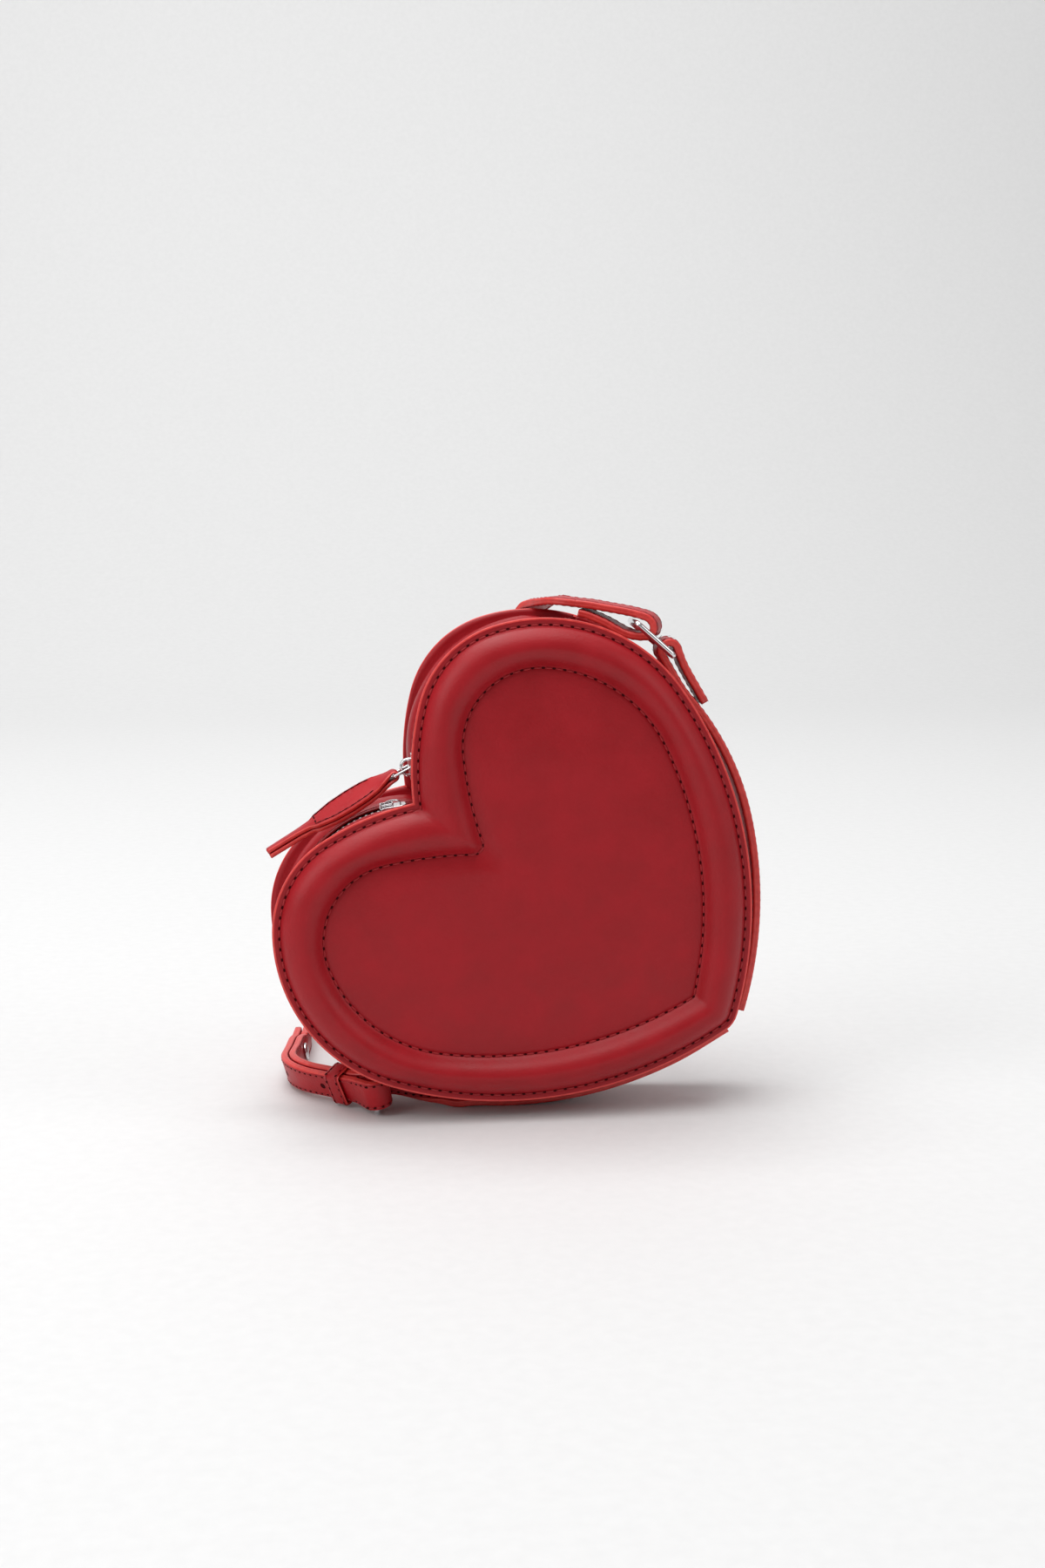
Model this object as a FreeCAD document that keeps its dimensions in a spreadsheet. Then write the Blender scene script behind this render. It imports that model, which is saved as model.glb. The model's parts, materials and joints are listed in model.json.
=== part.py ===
import FreeCAD, Part
import math
import os
import Sketcher

# Heart shaped shoulder purse of smooth red leather. It stands on its left flank, turned so that
# the tip points to the lower right, with its strap gathered on the floor behind it.
# Millimetres and degrees. Heart frame: X across the heart, Y from front to back with the
# middle of the gusset at 0, Z from the tip towards the lobes.

V = FreeCAD.Vector
Y_AXIS = V(0, 1, 0)
Z_AXIS = V(0, 0, 1)
HALVES = {"front": 1, "back": -1}
LOBES = {"right": 1, "left": -1}

SIZES = {
    # Edge of the panels: five arcs from the tip round one lobe to the cleft
    "tip_radius": 11.3,
    "flank_radius": 155.7,
    "shoulder_radius": 66.9,
    "crown_radius": 42.2,
    "cleft_radius": 109.1,
    "tip_start": -90,
    "flank_start": -69.4,
    "shoulder_start": -18.3,
    "crown_start": 53.6,
    "cleft_start": 111.9,
    "tip_height": 0,
    # Inner stitched heart: four arcs from its sharp tip to its cleft
    "inner_flank_radius": 152.2,
    "inner_shoulder_radius": 56.2,
    "inner_crown_radius": 30.3,
    "inner_cleft_radius": 153.9,
    "inner_flank_start": -66.7,
    "inner_shoulder_start": -27.5,
    "inner_crown_start": 33.0,
    "inner_cleft_start": 131.3,
    "inner_tip_height": 20.1,
    # Layers and depth
    "half_depth": 23,
    "leather": 1.4,
    "flange": 1.2,
    "board": 1.2,
    "lining": 0.5,
    "seam_gap": 0.2,
    # Padded bead of the front panel
    "bead_margin": 3.2,
    "bead_ridge": 10.9,
    "bead_height": 6.8,
    "dish_floor": 0.6,
    "dish_spread": 9.0,
    # Insets from the edge
    "flange_inset": 0.4,
    "wall_inset": 3.5,
    "wall_inner": 5.0,
    "gusset_lining_inset": 5.2,
    "gusset_lining_inner": 5.7,
    "board_inset": 9.5,
    # Zip: each lobe's track is one arc
    "lobe_across": 44.5,
    "lobe_height": 124,
    "lobe_radius": 51,
    "zip_slot": 6.0,
    "tape_top": 1.5,
    "tape_bottom": 2.2,
    "tape_edge": 2.9,
    "tape_width": 7.1,
    "tooth_top": 0.75,
    "tooth_bottom": 2.95,
    "tooth_tip": 0.7,
    "tooth_thick": 0.9,
    "zip_from": 25,
    "zip_to": 142,
    "tooth_step": 2.6,
    "wall_end": 20,
    "patch_from": 12,
    "patch_to": 24,
    "patch_gap": 0.75,
    "patch_thick": 1.2,
    "patch_half_width": 12,
    "stop_half_width": 2.6,
    # Sliders
    "slider_right_at": 132,
    "slider_left_at": 136,
    "slider_length": 11,
    "slider_half_width": 4.4,
    "slider_top": 0.9,
    "slider_channel_top": -0.4,
    "slider_channel_bottom": -3.3,
    "slider_bottom": -4.5,
    "post_half": 0.35,
    "post_length": 3.0,
    "bridge_half_width": 1.1,
    "bridge_inner": 2.4,
    "bridge_outer": 3.6,
    "bridge_head_right": 2.1,
    "bridge_top_right": 3.2,
    "bridge_head_left": 1.45,
    "bridge_top_left": 2.15,
    # Pulls
    "link_wire": 1.2,
    "link_length": 8.4,
    "link_width": 8.6,
    "link_rise": 2.0,
    "link_corner": 1.6,
    "link_lean": 21.5,
    "pull_thick": 4.2,
    "pull_bore": 0.95,
    "pull_neck": 2.7,
    "pull_wide": 6.8,
    "pull_shoulder": 4.4,
    "pull_tail": 2.9,
    "pull_length": 61,
    "pull_dip": 31.4,
    "pull_roll": -24,
    "tab_thick": 0.9,
    "tab_length": 5.6,
    "tab_half_width": 2.7,
    "tab_gap": 0.25,
    "tab_window": 1.8,
    "tab_window_end": 4.4,
    # Rings, bands and strap
    "ring_wire": 2.6,
    "ring_length": 22.0,
    "ring_width": 20,
    "ring_corner": 2.9,
    "ring_across": 106.3,
    "ring_height": 114.0,
    "ring_lean": 5.5,
    "band_width": 12,
    "band_thick": 3.2,
    "band_bow": 161.5,
    "band_fold": 3.4,
    "strap_pair": 3.5,
    "strap_yaw": 20,
    "strap_joint": 1.2,
    "nose_lift": 3.0,
    "left_ring_heading": 92,
    "left_ring_lean": 3,
    "keeper_play": 0.6,
    "keeper_wall": 1.4,
    "keeper_length": 7.8,
    "keeper_at": 14,
    "stud_at": 11,
    "screw_radius": 3.6,
    "screw_head": 1.0,
    "stud_gap": 0.1,
    "cap_radius": 3.4,
    "cap_head": 0.9,
    # How it stands
    "tilt": 54.23,
    "rest_height": 36.1,
}

doc = FreeCAD.newDocument("heart_purse")
sheet = doc.addObject("Spreadsheet::Sheet", "dims")
for row, (alias, number) in enumerate(SIZES.items(), start=1):
    sheet.set("A%d" % row, alias)
    sheet.set("B%d" % row, str(number))
    sheet.setAlias("B%d" % row, alias)
doc.recompute()

EDGE = ("tip", "flank", "shoulder", "crown", "cleft")
INNER = ("inner_flank", "inner_shoulder", "inner_crown", "inner_cleft")
nodes = []


def size(cell):
    """Number in a sheet cell."""
    return float(sheet.get(cell))


def value(terms):
    """Sum of sheet cells, given as {cell: factor}."""
    return sum(factor * size(cell) for cell, factor in terms.items())


def formula(terms):
    """The same sum as an expression that the document keeps."""
    return " + ".join("%.6g * dims.%s" % (factor, cell) for cell, factor in terms.items())


def add(*sums):
    """One sum of sheet cells from several."""
    total = {}
    for terms in sums:
        for cell, factor in terms.items():
            total[cell] = total.get(cell, 0) + factor
    return total


def minus(terms):
    """A sum of sheet cells with its sign turned."""
    return {cell: -factor for cell, factor in terms.items()}


def polar(centre, radius, angle):
    """Point of the sketch plane at an angle in radians round a centre."""
    return V(centre.x + radius * math.cos(angle), centre.y + radius * math.sin(angle), 0)


# Outlines: lists of (curve, radius terms or None)

def arc(centre, radius, start, end, terms=None):
    """Arc of a sketch, angles in radians, counterclockwise."""
    circle = Part.Circle(centre, Z_AXIS, radius)
    return Part.ArcOfCircle(circle, start, end), terms


def line(start, end):
    """Straight edge of a sketch."""
    return Part.LineSegment(start, end), None


def half_heart(names, inset, axis_gap=0.0):
    """Arcs (centre, radius, start, end, terms) from the tip to the cleft on the right side."""
    tip = "tip_height" if names is EDGE else "inner_tip_height"
    point = V(0, size(tip), 0)
    depth = value(inset)
    arcs = []
    for number, name in enumerate(names):
        radius = size(name + "_radius")
        start = math.radians(size(name + "_start"))
        centre = polar(point, -radius, start)
        last = number + 1 == len(names)
        end = 0.0 if last else math.radians(size(names[number + 1] + "_start"))
        if last:
            end = math.acos((axis_gap - centre.x) / (radius - depth))
        point = polar(centre, radius, end)
        if number == 0 and names is INNER:
            start = -math.acos(-centre.x / (radius - depth))
        terms = add({name + "_radius": 1}, minus(inset))
        arcs.append((centre, radius - depth, start, end, terms))
    return arcs


def mirrored(arcs):
    """The same arcs on the left side, in counterclockwise order."""
    turned = []
    for centre, radius, start, end, terms in reversed(arcs):
        turned.append((V(-centre.x, centre.y, 0), radius, math.pi - end, math.pi - start, terms))
    return turned


def heart(names, inset):
    """Closed heart outline, set in from the edge or the inner stitch line."""
    right = half_heart(names, inset)
    left = mirrored(right)
    if names is EDGE:
        centre, radius, _, end, terms = right[0]
        right[0] = (centre, radius, -math.pi - end, end, terms)
        left = left[:-1]
    return [arc(*piece) for piece in right + left]


def sector(centre, inner, outer, start, end):
    """Closed outline between two radii round a centre, angles in degrees."""
    first, last = math.radians(start), math.radians(end)
    low, high = value(inner), value(outer)
    return [
        arc(centre, high, first, last, outer),
        line(polar(centre, high, last), polar(centre, low, last)),
        arc(centre, low, first, last, inner),
        line(polar(centre, low, first), polar(centre, high, first)),
    ]


def polygon(*points):
    """Closed outline of straight edges."""
    corners = [V(x, y, 0) for x, y in points]
    return [line(corners[i - 1], corners[i]) for i in range(len(corners))]


def rounded(length, width, corner):
    """Closed rounded rectangle round the origin."""
    along, across = length / 2 - corner, width / 2 - corner
    edges = []
    for quarter, (x, y) in enumerate(((1, 1), (-1, 1), (-1, -1), (1, -1))):
        centre = V(x * along, y * across, 0)
        start = quarter * math.pi / 2
        edges.append(arc(centre, corner, start, start + math.pi / 2))
    for first, second in zip(edges, edges[1:] + edges[:1]):
        edges.append(line(first[0].EndPoint, second[0].StartPoint))
    return edges


class Path:
    """A plane route of straight runs and turns, kept as edges on both sides of a band."""

    def __init__(self, start, heading, thick):
        self.point = V(start[0], start[1], 0)
        self.first = self.point
        self.heading = math.radians(heading)
        self.half = thick / 2
        self.sides = {1: [], -1: []}
        self.centres = []
        self.starts = []
        self.length = 0.0

    def along(self, turn=0.0):
        """Unit vector along the route, turned by an angle in radians."""
        return V(math.cos(self.heading + turn), math.sin(self.heading + turn), 0)

    def run(self, length):
        """Go straight on."""
        end = self.point + self.along() * length
        for side, edges in self.sides.items():
            shift = self.along(side * math.pi / 2) * self.half
            edges.append(line(self.point + shift, end + shift))
        self.point = end
        self.length += length
        return self

    def turn(self, radius, degrees):
        """Follow an arc, to the left for a positive angle."""
        way = 1 if degrees > 0 else -1
        centre = self.point + self.along(way * math.pi / 2) * radius
        self.centres.append(centre)
        angle = math.radians(degrees)
        first = self.heading - way * math.pi / 2
        start, end = min(first, first + angle), max(first, first + angle)
        for side, edges in self.sides.items():
            edges.append(arc(centre, radius - side * way * self.half, start, end))
        self.heading += angle
        self.point = centre - self.along(way * math.pi / 2) * radius
        self.length += radius * abs(angle)
        return self

    def ends(self, first_heading):
        """Edges that close the band at its two ends."""
        closing = []
        for point, heading in ((self.first, first_heading), (self.point, self.heading)):
            across = V(-math.sin(heading), math.cos(heading), 0) * self.half
            closing.append(line(point + across, point - across))
        return closing


def band(start, heading, moves, thick):
    """Closed outline of a band along runs ("run", length) and turns ("turn", radius, degrees)."""
    path = Path(start, heading, thick)
    for move in moves:
        if move[0] == "run":
            path.starts.append((path.point, path.heading))
            path.run(move[1])
        else:
            path.turn(move[1], move[2])
    return path.sides[1] + path.sides[-1] + path.ends(math.radians(heading)), path


# Features

def body(label):
    """New body with its own name."""
    made = doc.addObject("PartDesign::Body", label)
    made.Label = label
    return made


def join_ends(drawn):
    """Tie the ends of a sketch's edges where they meet."""
    tips = []
    for index, edge in enumerate(drawn.Geometry):
        if hasattr(edge, "StartPoint"):
            tips += [(index, 1, edge.StartPoint), (index, 2, edge.EndPoint)]
    for count, (first, first_end, point) in enumerate(tips):
        for second, second_end, other in tips[count + 1:]:
            if first != second and point.distanceToPoint(other) < 1e-5:
                drawn.addConstraint(Sketcher.Constraint("Coincident", first, first_end, second, second_end))


def sketch(owner, name, loop, lift=None, role="XZ_Plane"):
    """Sketch on an origin plane of its body, lifted along the plane's normal."""
    drawn = owner.newObject("Sketcher::SketchObject", owner.Label + "_" + name)
    plane = [datum for datum in owner.Origin.OriginFeatures if datum.Role == role][0]
    drawn.AttachmentSupport = [(plane, "")]
    drawn.MapMode = "FlatFace"
    if lift:
        drawn.setExpression("AttachmentOffset.Base.z", formula(lift))
    for curve, _ in loop:
        drawn.addGeometry(curve)
    join_ends(drawn)
    for index, (curve, terms) in enumerate(loop):
        if terms:
            number = drawn.addConstraint(Sketcher.Constraint("Radius", index, curve.Radius))
            drawn.setExpression("Constraints[%d]" % number, formula(terms))
    return drawn


def pad(owner, profile, length):
    """Pad of a sketch along its normal."""
    feature = owner.newObject("PartDesign::Pad", profile.Name + "_pad")
    feature.Profile = profile
    feature.setExpression("Length", formula(length))
    owner.Tip = feature
    return feature


def pocket(owner, profile, length):
    """Pocket of a sketch along its normal, checked by volume."""
    doc.recompute()
    before = owner.Shape.Volume
    feature = owner.newObject("PartDesign::Pocket", profile.Name + "_pocket")
    feature.Profile = profile
    feature.setExpression("Length", formula(length))
    feature.Reversed = True
    owner.Tip = feature
    doc.recompute()
    if owner.Shape.Volume >= before:
        raise ValueError("pocket cuts nothing in " + owner.Label)
    return feature


def loft(owner, kind, profiles):
    """Ruled loft through sketches, added or cut away."""
    feature = owner.newObject("PartDesign::" + kind, profiles[0].Name + "_loft")
    feature.Profile = profiles[0]
    feature.Sections = profiles[1:]
    feature.Ruled = True
    owner.Tip = feature
    return feature


def keep(made, local=None, laid=False):
    """Hand a sub-part in, with its place in the heart frame or on the floor."""
    nodes.append((made, local or FreeCAD.Placement(), laid))
    return made


def feature(label, shape, local=None, laid=True):
    """Sub-part whose shape is set by a function."""
    made = doc.addObject("Part::Feature", label)
    made.Label = label
    made.Shape = shape
    return keep(made, local, laid)


def plate(label, inset, near, thick, half):
    """Heart shaped sheet whose near face is a distance from the middle of the bag."""
    made = body(label)
    lift = near if half > 0 else minus(add(near, thick))
    pad(made, sketch(made, "outline", heart(EDGE, inset), lift), thick)
    return keep(made)


# Panels

FACE = {"half_depth": 1}
BEHIND_PANEL = {"half_depth": 1, "leather": -1}
BEHIND_BOARD = {"half_depth": 1, "leather": -1, "board": -1}
BEHIND_LINING = add(BEHIND_BOARD, {"lining": -1})


def bead_sections(owner, skin, foot):
    """Heart sketches up the outside of the padded bead, a quarter ellipse in section."""
    drawn = []
    for step in range(5):
        lean = math.radians(90 * step / 4)
        inward = 1 - math.cos(lean)
        inset = {"bead_margin": 1 - inward, "bead_ridge": inward, "leather": skin * (1 - inward)}
        lift = add(foot, {"bead_height": math.sin(lean)})
        drawn.append(sketch(owner, "bead_%d" % step, heart(EDGE, inset), lift))
    return drawn


def dish_sections(owner, skin, foot, through):
    """Inner heart sketches from the floor of the dish to just above the bead."""
    drawn = []
    if through:
        drawn.append(sketch(owner, "dish_foot", heart(INNER, {"leather": -skin}), add(foot, {"leather": -1})))
    for step in range(4):
        lean = math.radians(25 * step)
        outward = {"dish_spread": math.cos(lean) - 1, "leather": -skin}
        rise = math.sin(lean)
        lift = add(foot, {"bead_height": rise, "dish_floor": 1 - rise})
        drawn.append(sketch(owner, "dish_%d" % step, heart(INNER, outward), lift))
    brim = {"dish_spread": -0.82, "leather": -skin}
    drawn.append(sketch(owner, "dish_brim", heart(INNER, brim), add(foot, {"bead_height": 1.09})))
    return drawn


def foam(label):
    """Foam roll under the front leather, between the two rows of stitches."""
    made = body(label)
    loft(made, "AdditiveLoft", bead_sections(made, 1, BEHIND_PANEL))
    loft(made, "SubtractiveLoft", dish_sections(made, 1, BEHIND_PANEL, True))
    return made


def front_panel():
    """Front leather, formed over the foam roll, flat at its edge and inside the inner stitches."""
    form = body("front_form")
    pad(form, sketch(form, "outline", heart(EDGE, {}), BEHIND_PANEL), {"leather": 1})
    loft(form, "AdditiveLoft", bead_sections(form, 0, FACE))
    loft(form, "SubtractiveLoft", dish_sections(form, 0, FACE, False))
    made = doc.addObject("Part::Cut", "front_panel")
    made.Label = "front_panel"
    made.Base = form
    made.Tool = foam("foam_space")
    keep(made)


front_panel()
keep(foam("front_bead_foam"))
plate("back_panel", {}, BEHIND_PANEL, {"leather": 1}, -1)
for half_name, half in HALVES.items():
    plate(half_name + "_board", {"board_inset": 1}, BEHIND_BOARD, {"board": 1}, half)
    plate(half_name + "_lining", {"board_inset": 1}, BEHIND_LINING, {"lining": 1}, half)


# Lower gusset and its lining, from one zip end round the tip to the other

def lower_strip(outer, inner):
    """Closed outline between two insets below the zip."""
    upper = math.radians(size("wall_end") - 2)
    sides = []
    for inset in (outer, inner):
        arcs = half_heart(EDGE, inset)[:3]
        centre, radius, start, _, terms = arcs[2]
        arcs[2] = (centre, radius, start, upper, terms)
        tip_centre, tip_radius, _, tip_end, tip_terms = arcs[0]
        left = mirrored(arcs)[:-1]
        arcs[0] = (tip_centre, tip_radius, -math.pi - tip_end, tip_end, tip_terms)
        sides.append([arc(*piece) for piece in left + arcs])
    closing = []
    for index, end in ((0, "StartPoint"), (-1, "EndPoint")):
        closing.append(line(getattr(sides[0][index][0], end), getattr(sides[1][index][0], end)))
    return sides[0] + sides[1] + closing


WALL_FACE = add(BEHIND_PANEL, {"seam_gap": -1})
WALL_DEPTH = {cell: 2 * factor for cell, factor in WALL_FACE.items()}


def lower_gusset():
    """Side wall with a turned out flange at the front and at the back."""
    made = body("lower_gusset")
    wall = lower_strip({"wall_inset": 1}, {"wall_inner": 1})
    pad(made, sketch(made, "wall", wall, minus(WALL_FACE)), WALL_DEPTH)
    rim = lower_strip({"flange_inset": 1}, {"wall_inner": 1})
    pad(made, sketch(made, "front_rim", rim, add(WALL_FACE, {"flange": -1})), {"flange": 1})
    pad(made, sketch(made, "back_rim", rim, minus(WALL_FACE)), {"flange": 1})
    keep(made)
    lined = body("gusset_lining")
    strip = lower_strip({"gusset_lining_inset": 1}, {"gusset_lining_inner": 1})
    depth = {cell: 2 * factor for cell, factor in BEHIND_LINING.items()}
    pad(lined, sketch(lined, "strip", strip, minus(BEHIND_LINING)), depth)
    keep(lined)


lower_gusset()


# Zip: leather bands, tapes, teeth, stops and end patches on each lobe

def lobe_centre(lobe):
    """Centre of a lobe's zip arc."""
    return V(lobe * size("lobe_across"), size("lobe_height"), 0)


def lobe_angles(lobe, start, end):
    """Angles of a stretch of a lobe, counted from the outside towards the cleft."""
    return (start, end) if lobe > 0 else (180 - end, 180 - start)


def lobe_sector(lobe, inner, outer, start, end):
    """Closed outline along a lobe's zip arc."""
    first, last = lobe_angles(lobe, start, end)
    reach = {"lobe_radius": 1}
    return sector(lobe_centre(lobe), add(reach, inner), add(reach, outer), first, last)


def lobe_flange(lobe, inner):
    """Closed outline between the panel's edge and the zip band, from the zip end to the cleft."""
    gap = size("seam_gap")
    arcs = half_heart(EDGE, {"flange_inset": 1}, gap)[2:]
    centre, radius, _, end, terms = arcs[0]
    arcs[0] = (centre, radius, math.radians(size("wall_end")), end, terms)
    reach = value(inner)
    cleft = math.acos((gap - size("lobe_across")) / reach)
    arcs.append((lobe_centre(1), reach, math.radians(size("wall_end")), cleft, inner))
    if lobe < 0:
        arcs = mirrored(arcs)
    edges = [arc(*piece) for piece in arcs]
    outer, zip_edge = (edges[:-1], edges[-1]) if lobe > 0 else (edges[1:], edges[0])
    pairs = ((outer[0][0].StartPoint, zip_edge[0].StartPoint), (outer[-1][0].EndPoint, zip_edge[0].EndPoint))
    return edges + [line(*pair) for pair in pairs]


def lobe_zip(lobe_name, lobe, half_name, half):
    """Leather band with its flange, tape and teeth on one half of one lobe."""
    name = "%s_%s" % (half_name, lobe_name)
    cleft = math.degrees(math.acos((size("seam_gap") - size("lobe_across")) / size("lobe_radius")))
    wall = body("zip_band_" + name)
    near, far = {"zip_slot": 1}, WALL_FACE
    depth = add(far, minus(near))
    outline = lobe_sector(lobe, {"leather": -1}, {}, size("wall_end"), cleft)
    pad(wall, sketch(wall, "wall", outline, near if half > 0 else minus(far)), depth)
    rim = lobe_flange(lobe, {"lobe_radius": 1, "leather": -1})
    lift = add(far, {"flange": -1}) if half > 0 else minus(far)
    pad(wall, sketch(wall, "rim", rim, lift), {"flange": 1})
    keep(wall)
    tape = body("zip_tape_" + name)
    outline = lobe_sector(lobe, {"tape_bottom": -1}, {"tape_top": -1}, size("patch_to"), size("zip_to"))
    edge, width = {"tape_edge": 1}, {"tape_width": 1}
    pad(tape, sketch(tape, "strip", outline, edge if half > 0 else minus(add(edge, width))), width)
    keep(tape)
    teeth(name, lobe, half)


def teeth(name, lobe, half):
    """Row of metal teeth along the edge of a tape."""
    made = body("zip_teeth_" + name)
    made.AllowCompound = True
    reach = size("lobe_radius")
    step = math.degrees(size("tooth_step") / reach)
    thick = math.degrees(size("tooth_thick") / reach)
    start = size("zip_from") + (0 if half > 0 else step / 2)
    count = int((size("zip_to") - 1 - start) / step)
    near = {"tooth_tip": 1}
    depth = add({"tape_edge": 1}, minus(near))
    outline = []
    for number in range(count):
        at = start + number * step
        outline += lobe_sector(lobe, {"tooth_bottom": -1}, {"tooth_top": -1}, at, at + thick)
    lift = near if half > 0 else {"tape_edge": -1}
    drawn = sketch(made, "row", [(curve, None) for curve, _ in outline], lift)
    pad(made, drawn, depth)
    keep(made)


def zip_end(lobe_name, lobe):
    """Metal stop at the outer end of a zip, and the leather patch sewn over it."""
    stop = body("zip_stop_" + lobe_name)
    last = size("patch_to")
    outline = lobe_sector(lobe, {"tooth_bottom": -1}, {"tooth_top": -1}, last - 2, last)
    wide = {"stop_half_width": 1}
    pad(stop, sketch(stop, "block", outline, minus(wide)), {"stop_half_width": 2})
    keep(stop)
    patch = body("zip_end_patch_" + lobe_name)
    low = {"patch_gap": 1}
    high = {"patch_gap": 1, "patch_thick": 1}
    outline = lobe_sector(lobe, low, high, size("patch_from"), size("patch_to"))
    wide = {"patch_half_width": 1}
    pad(patch, sketch(patch, "strip", outline, minus(wide)), {"patch_half_width": 2})
    keep(patch)


for lobe_name, lobe in LOBES.items():
    for half_name, half in HALVES.items():
        lobe_zip(lobe_name, lobe, half_name, half)
    zip_end(lobe_name, lobe)


# Sliders: drawn at the top of an arc round the origin, then placed on their lobe

def on_lobe(lobe, angle):
    """Place on a lobe of what is drawn with the lobe's centre at the origin and its arc on top."""
    centre = lobe_centre(lobe)
    turn = 90 - (angle if lobe > 0 else 180 - angle)
    return FreeCAD.Placement(V(centre.x, 0, centre.y), FreeCAD.Rotation(Y_AXIS, turn))


def slider(lobe_name, lobe):
    """Slider with two plates and a post between them, and its bridge."""
    place = on_lobe(lobe, size("slider_%s_at" % lobe_name))
    reach = {"lobe_radius": 1}
    made = body("slider_" + lobe_name)
    wide = {"slider_half_width": 1}
    spread = math.degrees(size("slider_length") / size("lobe_radius")) / 2
    post = math.degrees(size("post_length") / size("lobe_radius")) / 2
    layers = (
        ("outer_plate", "slider_channel_top", "slider_top", spread, wide),
        ("inner_plate", "slider_bottom", "slider_channel_bottom", spread, wide),
        ("post", "slider_channel_bottom", "slider_channel_top", post, {"post_half": 1}),
    )
    made.AllowCompound = True
    for name, low, high, half_angle, half_width in layers:
        outline = sector(V(), add(reach, {low: 1}), add(reach, {high: 1}), 90 - half_angle, 90 + half_angle)
        depth = {cell: 2 * factor for cell, factor in half_width.items()}
        pad(made, sketch(made, name, outline, minus(half_width)), depth)
    keep(made, place)
    bridge = body("slider_bridge_" + lobe_name)
    foot = size("lobe_radius") + size("slider_top")
    inner, outer = size("bridge_inner"), size("bridge_outer")
    head = foot + size("bridge_head_" + lobe_name)
    top = foot + size("bridge_top_" + lobe_name)
    outline = polygon((-outer, foot), (-inner, foot), (-inner, head), (inner, head), (inner, foot),
                      (outer, foot), (outer, top - 1), (outer - 1, top), (1 - outer, top), (-outer, top - 1))
    wide = {"bridge_half_width": 1}
    pad(bridge, sketch(bridge, "arch", outline, minus(wide)), {"bridge_half_width": 2})
    keep(bridge, place)
    return place


def wire_ring(label, length, width, wire, corner):
    """Rounded rectangular ring of round wire, its bars along Y."""
    made = body(label)
    spine = sketch(made, "spine", rounded(length - wire, width - wire, corner - wire / 2), role="XY_Plane")
    section = made.newObject("Sketcher::SketchObject", label + "_section")
    plane = [datum for datum in made.Origin.OriginFeatures if datum.Role == "YZ_Plane"][0]
    section.AttachmentSupport = [(plane, "")]
    section.MapMode = "FlatFace"
    section.addGeometry(Part.Circle(V((width - wire) / 2, 0, 0), Z_AXIS, wire / 2))
    pipe = made.newObject("PartDesign::AdditivePipe", label + "_wire")
    pipe.Profile = section
    pipe.Spine = spine
    made.Tip = pipe
    return made


right_slider = slider("right", 1)
left_slider = slider("left", -1)


def pull_section(along, half, roll):
    """Closed rectangle across the pull, turned about its length."""
    high = size("pull_thick") / 2
    turned = FreeCAD.Rotation(V(1, 0, 0), roll)
    corners = []
    for across, up in ((-half, -high), (half, -high), (half, high), (-half, high)):
        corners.append(V(along, 0, 0) + turned.multVec(V(0, across, up)))
    return Part.makePolygon(corners + corners[:1])


def link_and_pull():
    """Wire link in the right slider's bridge, and the folded leather pull that twists away from it."""
    length = size("link_length")
    wire = size("link_wire")
    link = wire_ring("pull_link", length, size("link_width"), wire, size("link_corner"))
    bar = V(0, 0, size("lobe_radius") + size("slider_top") + wire / 2 + 0.45)
    lean = FreeCAD.Rotation(Y_AXIS, -90 - size("link_lean"))
    far = lean.multVec(V(length - wire, 0, 0))
    middle = bar + far * 0.5
    keep(link, right_slider.multiply(FreeCAD.Placement(middle, lean)))
    neck, wide, roll = size("pull_neck"), size("pull_wide"), size("pull_roll")
    shoulder, tail, reach = size("pull_shoulder"), size("pull_tail"), size("pull_length")
    stations = ((-2.4, neck, 0), (3.5, neck, 0), (8, wide * 0.62, roll * 0.5), (13, wide * 0.9, roll),
                (20, wide, roll), (28, wide * 0.92, roll), (36.5, shoulder, roll * 0.8),
                (37.5, tail + 0.3, roll * 0.6), (44, tail, roll * 0.2), (reach - 3, tail - 0.2, 0))
    solid = Part.makeLoft([pull_section(*station) for station in stations], True, True)
    bore = Part.makeCylinder(size("pull_bore"), 4 * wide, V(0, -2 * wide, 0), Y_AXIS)
    hang = FreeCAD.Rotation(Y_AXIS, 180 - size("pull_dip"))
    upright = FreeCAD.Rotation(Y_AXIS, size("tilt"))
    end = right_slider.multVec(bar + far)
    feature("leather_pull", solid.cut(bore), FreeCAD.Placement(end, upright.multiply(hang)), False)
    return right_slider.multVec(bar), end


link_bar, link_end = link_and_pull()


def short_pull():
    """Small metal pull lying on the left slider."""
    made = body("short_pull")
    middle = size("lobe_radius") + size("slider_top") + size("tab_gap") + size("tab_thick") / 2
    half = size("tab_half_width")
    reach = size("tab_length")
    shoulder = reach - 1
    bar = size("tab_thick") * 0.45
    outline = polygon((-bar, -half), (-bar, half), (shoulder, half), (reach, half * 0.6),
                      (reach, -half * 0.6), (shoulder, -half))
    lift = {"tab_thick": -0.5}
    pad(made, sketch(made, "outline", outline, lift, "XY_Plane"), {"tab_thick": 1})
    window = size("tab_window")
    far = size("tab_window_end")
    hole = polygon((bar, -window), (bar, window), (far, window), (far, -window))
    pocket(made, sketch(made, "window", hole, {"tab_thick": -1}, "XY_Plane"), {"tab_thick": 3})
    turned = FreeCAD.Rotation(Z_AXIS, 180)
    keep(made, left_slider.multiply(FreeCAD.Placement(V(0, 0, middle), turned)))
    return left_slider.multVec(V(0, 0, middle))


short_bar = short_pull()


# Ring, band and strap end at the right

def strip(label, outline, half_width, role="XZ_Plane"):
    """Band of the full width, padded from a plane outline."""
    made = body(label)
    pad(made, sketch(made, "side", outline, minus({half_width: 0.5}), role), {half_width: 1})
    return made


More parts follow.
